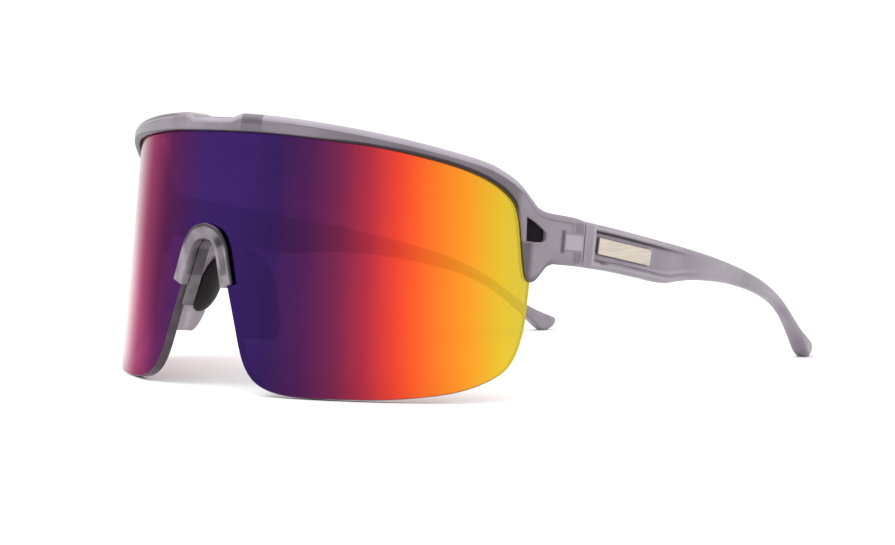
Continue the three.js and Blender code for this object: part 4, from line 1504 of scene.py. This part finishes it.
@dataclass(frozen=True)
class Studio:
    """A white floor under an even white dome, with two soft panels and a long-lens camera."""

    azimuth: float = 44.7306
    elevation: float = 4.2724
    roll: float = 0.5582
    eye: tuple[float, float, float] = (0.435149, -0.443661, 0.067803)
    focal: float = 106.61
    horizon: float = 1.07
    zenith: float = 1.5

    def camera(self) -> None:
        """Places the camera by its azimuth, elevation and roll."""
        az, el, roll = (math.radians(v) for v in (self.azimuth, self.elevation, self.roll))
        back = np.array([math.sin(az) * math.cos(el), -math.cos(az) * math.cos(el), math.sin(el)])
        level = np.array([math.cos(az), math.sin(az), 0.0])
        right = math.cos(roll) * level + math.sin(roll) * np.cross(back, level)
        up = np.cross(back, right)
        data = bpy.data.cameras.new("camera")
        data.lens, data.sensor_width, data.clip_start = self.focal, 36.0, 0.01
        obj = bpy.data.objects.new("camera", data)
        obj.matrix_world = placed(right, up, back, self.eye)
        bpy.context.scene.collection.objects.link(obj)
        bpy.context.scene.camera = obj

    def dome(self) -> None:
        """A world that is brighter overhead than at the horizon."""
        world = bpy.data.worlds.new("dome")
        world.use_nodes = True
        tree = world.node_tree
        place = tree.nodes.new("ShaderNodeTexCoord")
        split = tree.nodes.new("ShaderNodeSeparateXYZ")
        ramp = tree.nodes.new("ShaderNodeMapRange")
        ramp.inputs["From Min"].default_value, ramp.inputs["From Max"].default_value = 0.25, 0.95
        ramp.inputs["To Min"].default_value, ramp.inputs["To Max"].default_value = self.horizon, self.zenith
        tree.links.new(place.outputs["Generated"], split.inputs[0])
        tree.links.new(split.outputs["Z"], ramp.inputs["Value"])
        tree.links.new(ramp.outputs["Result"], tree.nodes["Background"].inputs["Strength"])
        tree.nodes["Background"].inputs["Color"].default_value = (1, 1, 1, 1)
        bpy.context.scene.world = world

    def panel(self, name: str, at: Colour, size: float, power: float) -> None:
        """A square soft light that looks at the middle of the glasses."""
        data = bpy.data.lights.new(name, "AREA")
        data.size, data.energy = size, power
        obj = bpy.data.objects.new(name, data)
        back = np.array(at) - np.array([0, 0, 0.03])
        back = back / np.linalg.norm(back)
        side = np.cross([0, 0, 1.0], back)
        side = side / np.linalg.norm(side)
        up = np.cross(back, side)
        obj.matrix_world = placed(side, up, back, at)
        bpy.context.scene.collection.objects.link(obj)

    def floor(self) -> None:
        """A wide pale floor at the object's foot."""
        reach = 6.0
        corners = np.array([[-reach, -reach, 0], [reach, -reach, 0], [reach, reach, 0], [-reach, reach, 0]])
        mesh = bpy.data.meshes.new("floor")
        mesh.from_pydata(corners.tolist(), [], [(0, 1, 2, 3)])
        obj = bpy.data.objects.new("floor", mesh)
        bpy.context.scene.collection.objects.link(obj)
        nodes = Nodes("floor_paper")
        paper = nodes.ramp(nodes.noise(30.0), [(0.3, (0.83, 0.83, 0.83)), (0.7, (0.85, 0.85, 0.85))])
        nodes.link(paper, nodes.shader.inputs["Base Color"])
        nodes.put(Roughness=0.8, Specular_IOR_Level=0.2)
        mesh.materials.append(nodes.material)

    def build(self) -> None:
        """Sets up the camera, the light and the floor."""
        self.camera()
        self.dome()
        self.floor()
        self.panel("key_panel", (-0.5, -0.5, 0.9), 0.7, 6.0)
        self.panel("side_panel", (1.1, 0.5, 0.5), 0.6, 4.0)
        bpy.context.scene.view_settings.view_transform = "Standard"


# ---- Everything together -------------------------------------------------------------------------


def settle(obj: bpy.types.Object, body: str, slot: str, *nodes: str) -> None:
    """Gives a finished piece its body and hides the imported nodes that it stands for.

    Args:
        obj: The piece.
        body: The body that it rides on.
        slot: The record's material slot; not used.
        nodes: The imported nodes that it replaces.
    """
    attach(obj, body)
    if nodes:
        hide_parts(*nodes)
    log.info("%s rides on %s, with %d faces", obj.name, body, len(obj.data.polygons))


def corners(box: tuple) -> list[list[float]]:
    """A box's two corners as plain lists."""
    return [[float(v) for v in corner] for corner in box]


def main() -> None:
    """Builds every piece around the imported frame, then lights it."""
    logging.basicConfig(level=logging.INFO, format="%(name)s: %(message)s")
    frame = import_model()
    joint = next(j for j in frame["joints"] if j["name"] == "fold_left")
    shield = ShieldFrame(joint)
    nodes = frame["nodes"]

    crystal = CrystalPlastic("crystal_plastic").material()
    brow = BrowFrame(shield).build([nodes[f"hinge_tongue_{side.word}"] for side in Side])
    dress(brow, crystal)
    settle(brow, "front", "frame_plastic", "brow_frame")

    lens = ShieldLens(shield).build()
    centre_y = float(shield.packed(np.array([0.0, LENS.radius, LENS.top / 2]))[1])
    edge = GlossPlastic("lens_edge", (0.10, 0.082, 0.098), (0.065, 0.05, 0.062), specular=0.25).material()
    # The lug's near-black finish: the lens's dark tint with painted shade of the window's hollow.
    lug = GlossPlastic("lens_lug", (0.013, 0.008, 0.012), (0.008, 0.005, 0.008), roughness=0.3, specular=0.08)
    mirror = MirrorCoat("mirror_coat", centre_y).material()
    smoke = SmokeTint("smoke_tint").material()
    dress(lens, mirror, smoke, edge, lug.material())
    settle(lens, "front", "lens_mirror", "shield_lens")

    nose = NosePiece(shield)
    gloss = GlossPlastic("nose_gloss").material()
    saddle = nose.saddle()
    dress(saddle, gloss)
    settle(saddle, "front", "nose_plastic", "nose_saddle")
    carrier = nose.carrier()
    dress(carrier, gloss)
    settle(carrier, "front", "nose_plastic", "nose_carrier")
    wing_finish = GlossPlastic("nose_wing_plastic", (0.42, 0.38, 0.42), (0.30, 0.27, 0.30)).material()
    rubber = SoftRubber("pad_rubber").material()

    badge_metal = Metal("badge_metal", (0.58, 0.525, 0.45), (0.45, 0.40, 0.34), 0.42, (0.25, 0.03, 1.0))
    badge_metal = badge_metal.material()
    steel = Metal("screw_steel", (0.62, 0.62, 0.64), (0.42, 0.42, 0.44), 0.25).material()
    brass = Metal("nut_brass", (0.70, 0.52, 0.25), (0.5, 0.36, 0.16), 0.3).material()
    tongue = CrystalPlastic("tongue_nylon", (0.30, 0.27, 0.31), (0.22, 0.2, 0.23)).material()

    for side in Side:
        wing = nose.wing(side)
        dress(wing, wing_finish)
        settle(wing, "front", "nose_plastic")
        pad = nose.pad(side)
        dress(pad, rubber)
        settle(pad, "front", "pad_rubber", f"nose_pad_{side.word}")
        body = f"temple_{side.word}"
        arm = TempleArm(shield, side).build()
        dress(arm, crystal)
        settle(arm, body, "frame_plastic", f"temple_arm_{side.word}")
        badge = Badge(shield, side).build()
        dress(badge, badge_metal)
        settle(badge, body, "badge_metal", f"badge_{side.word}")
        dress(nodes[f"hinge_tongue_{side.word}"], tongue)
        dress(nodes[f"hinge_screw_{side.word}"], steel)
        dress(nodes[f"hinge_nut_{side.word}"], brass)

    Studio().build()


if __name__ == "__main__":
    main()
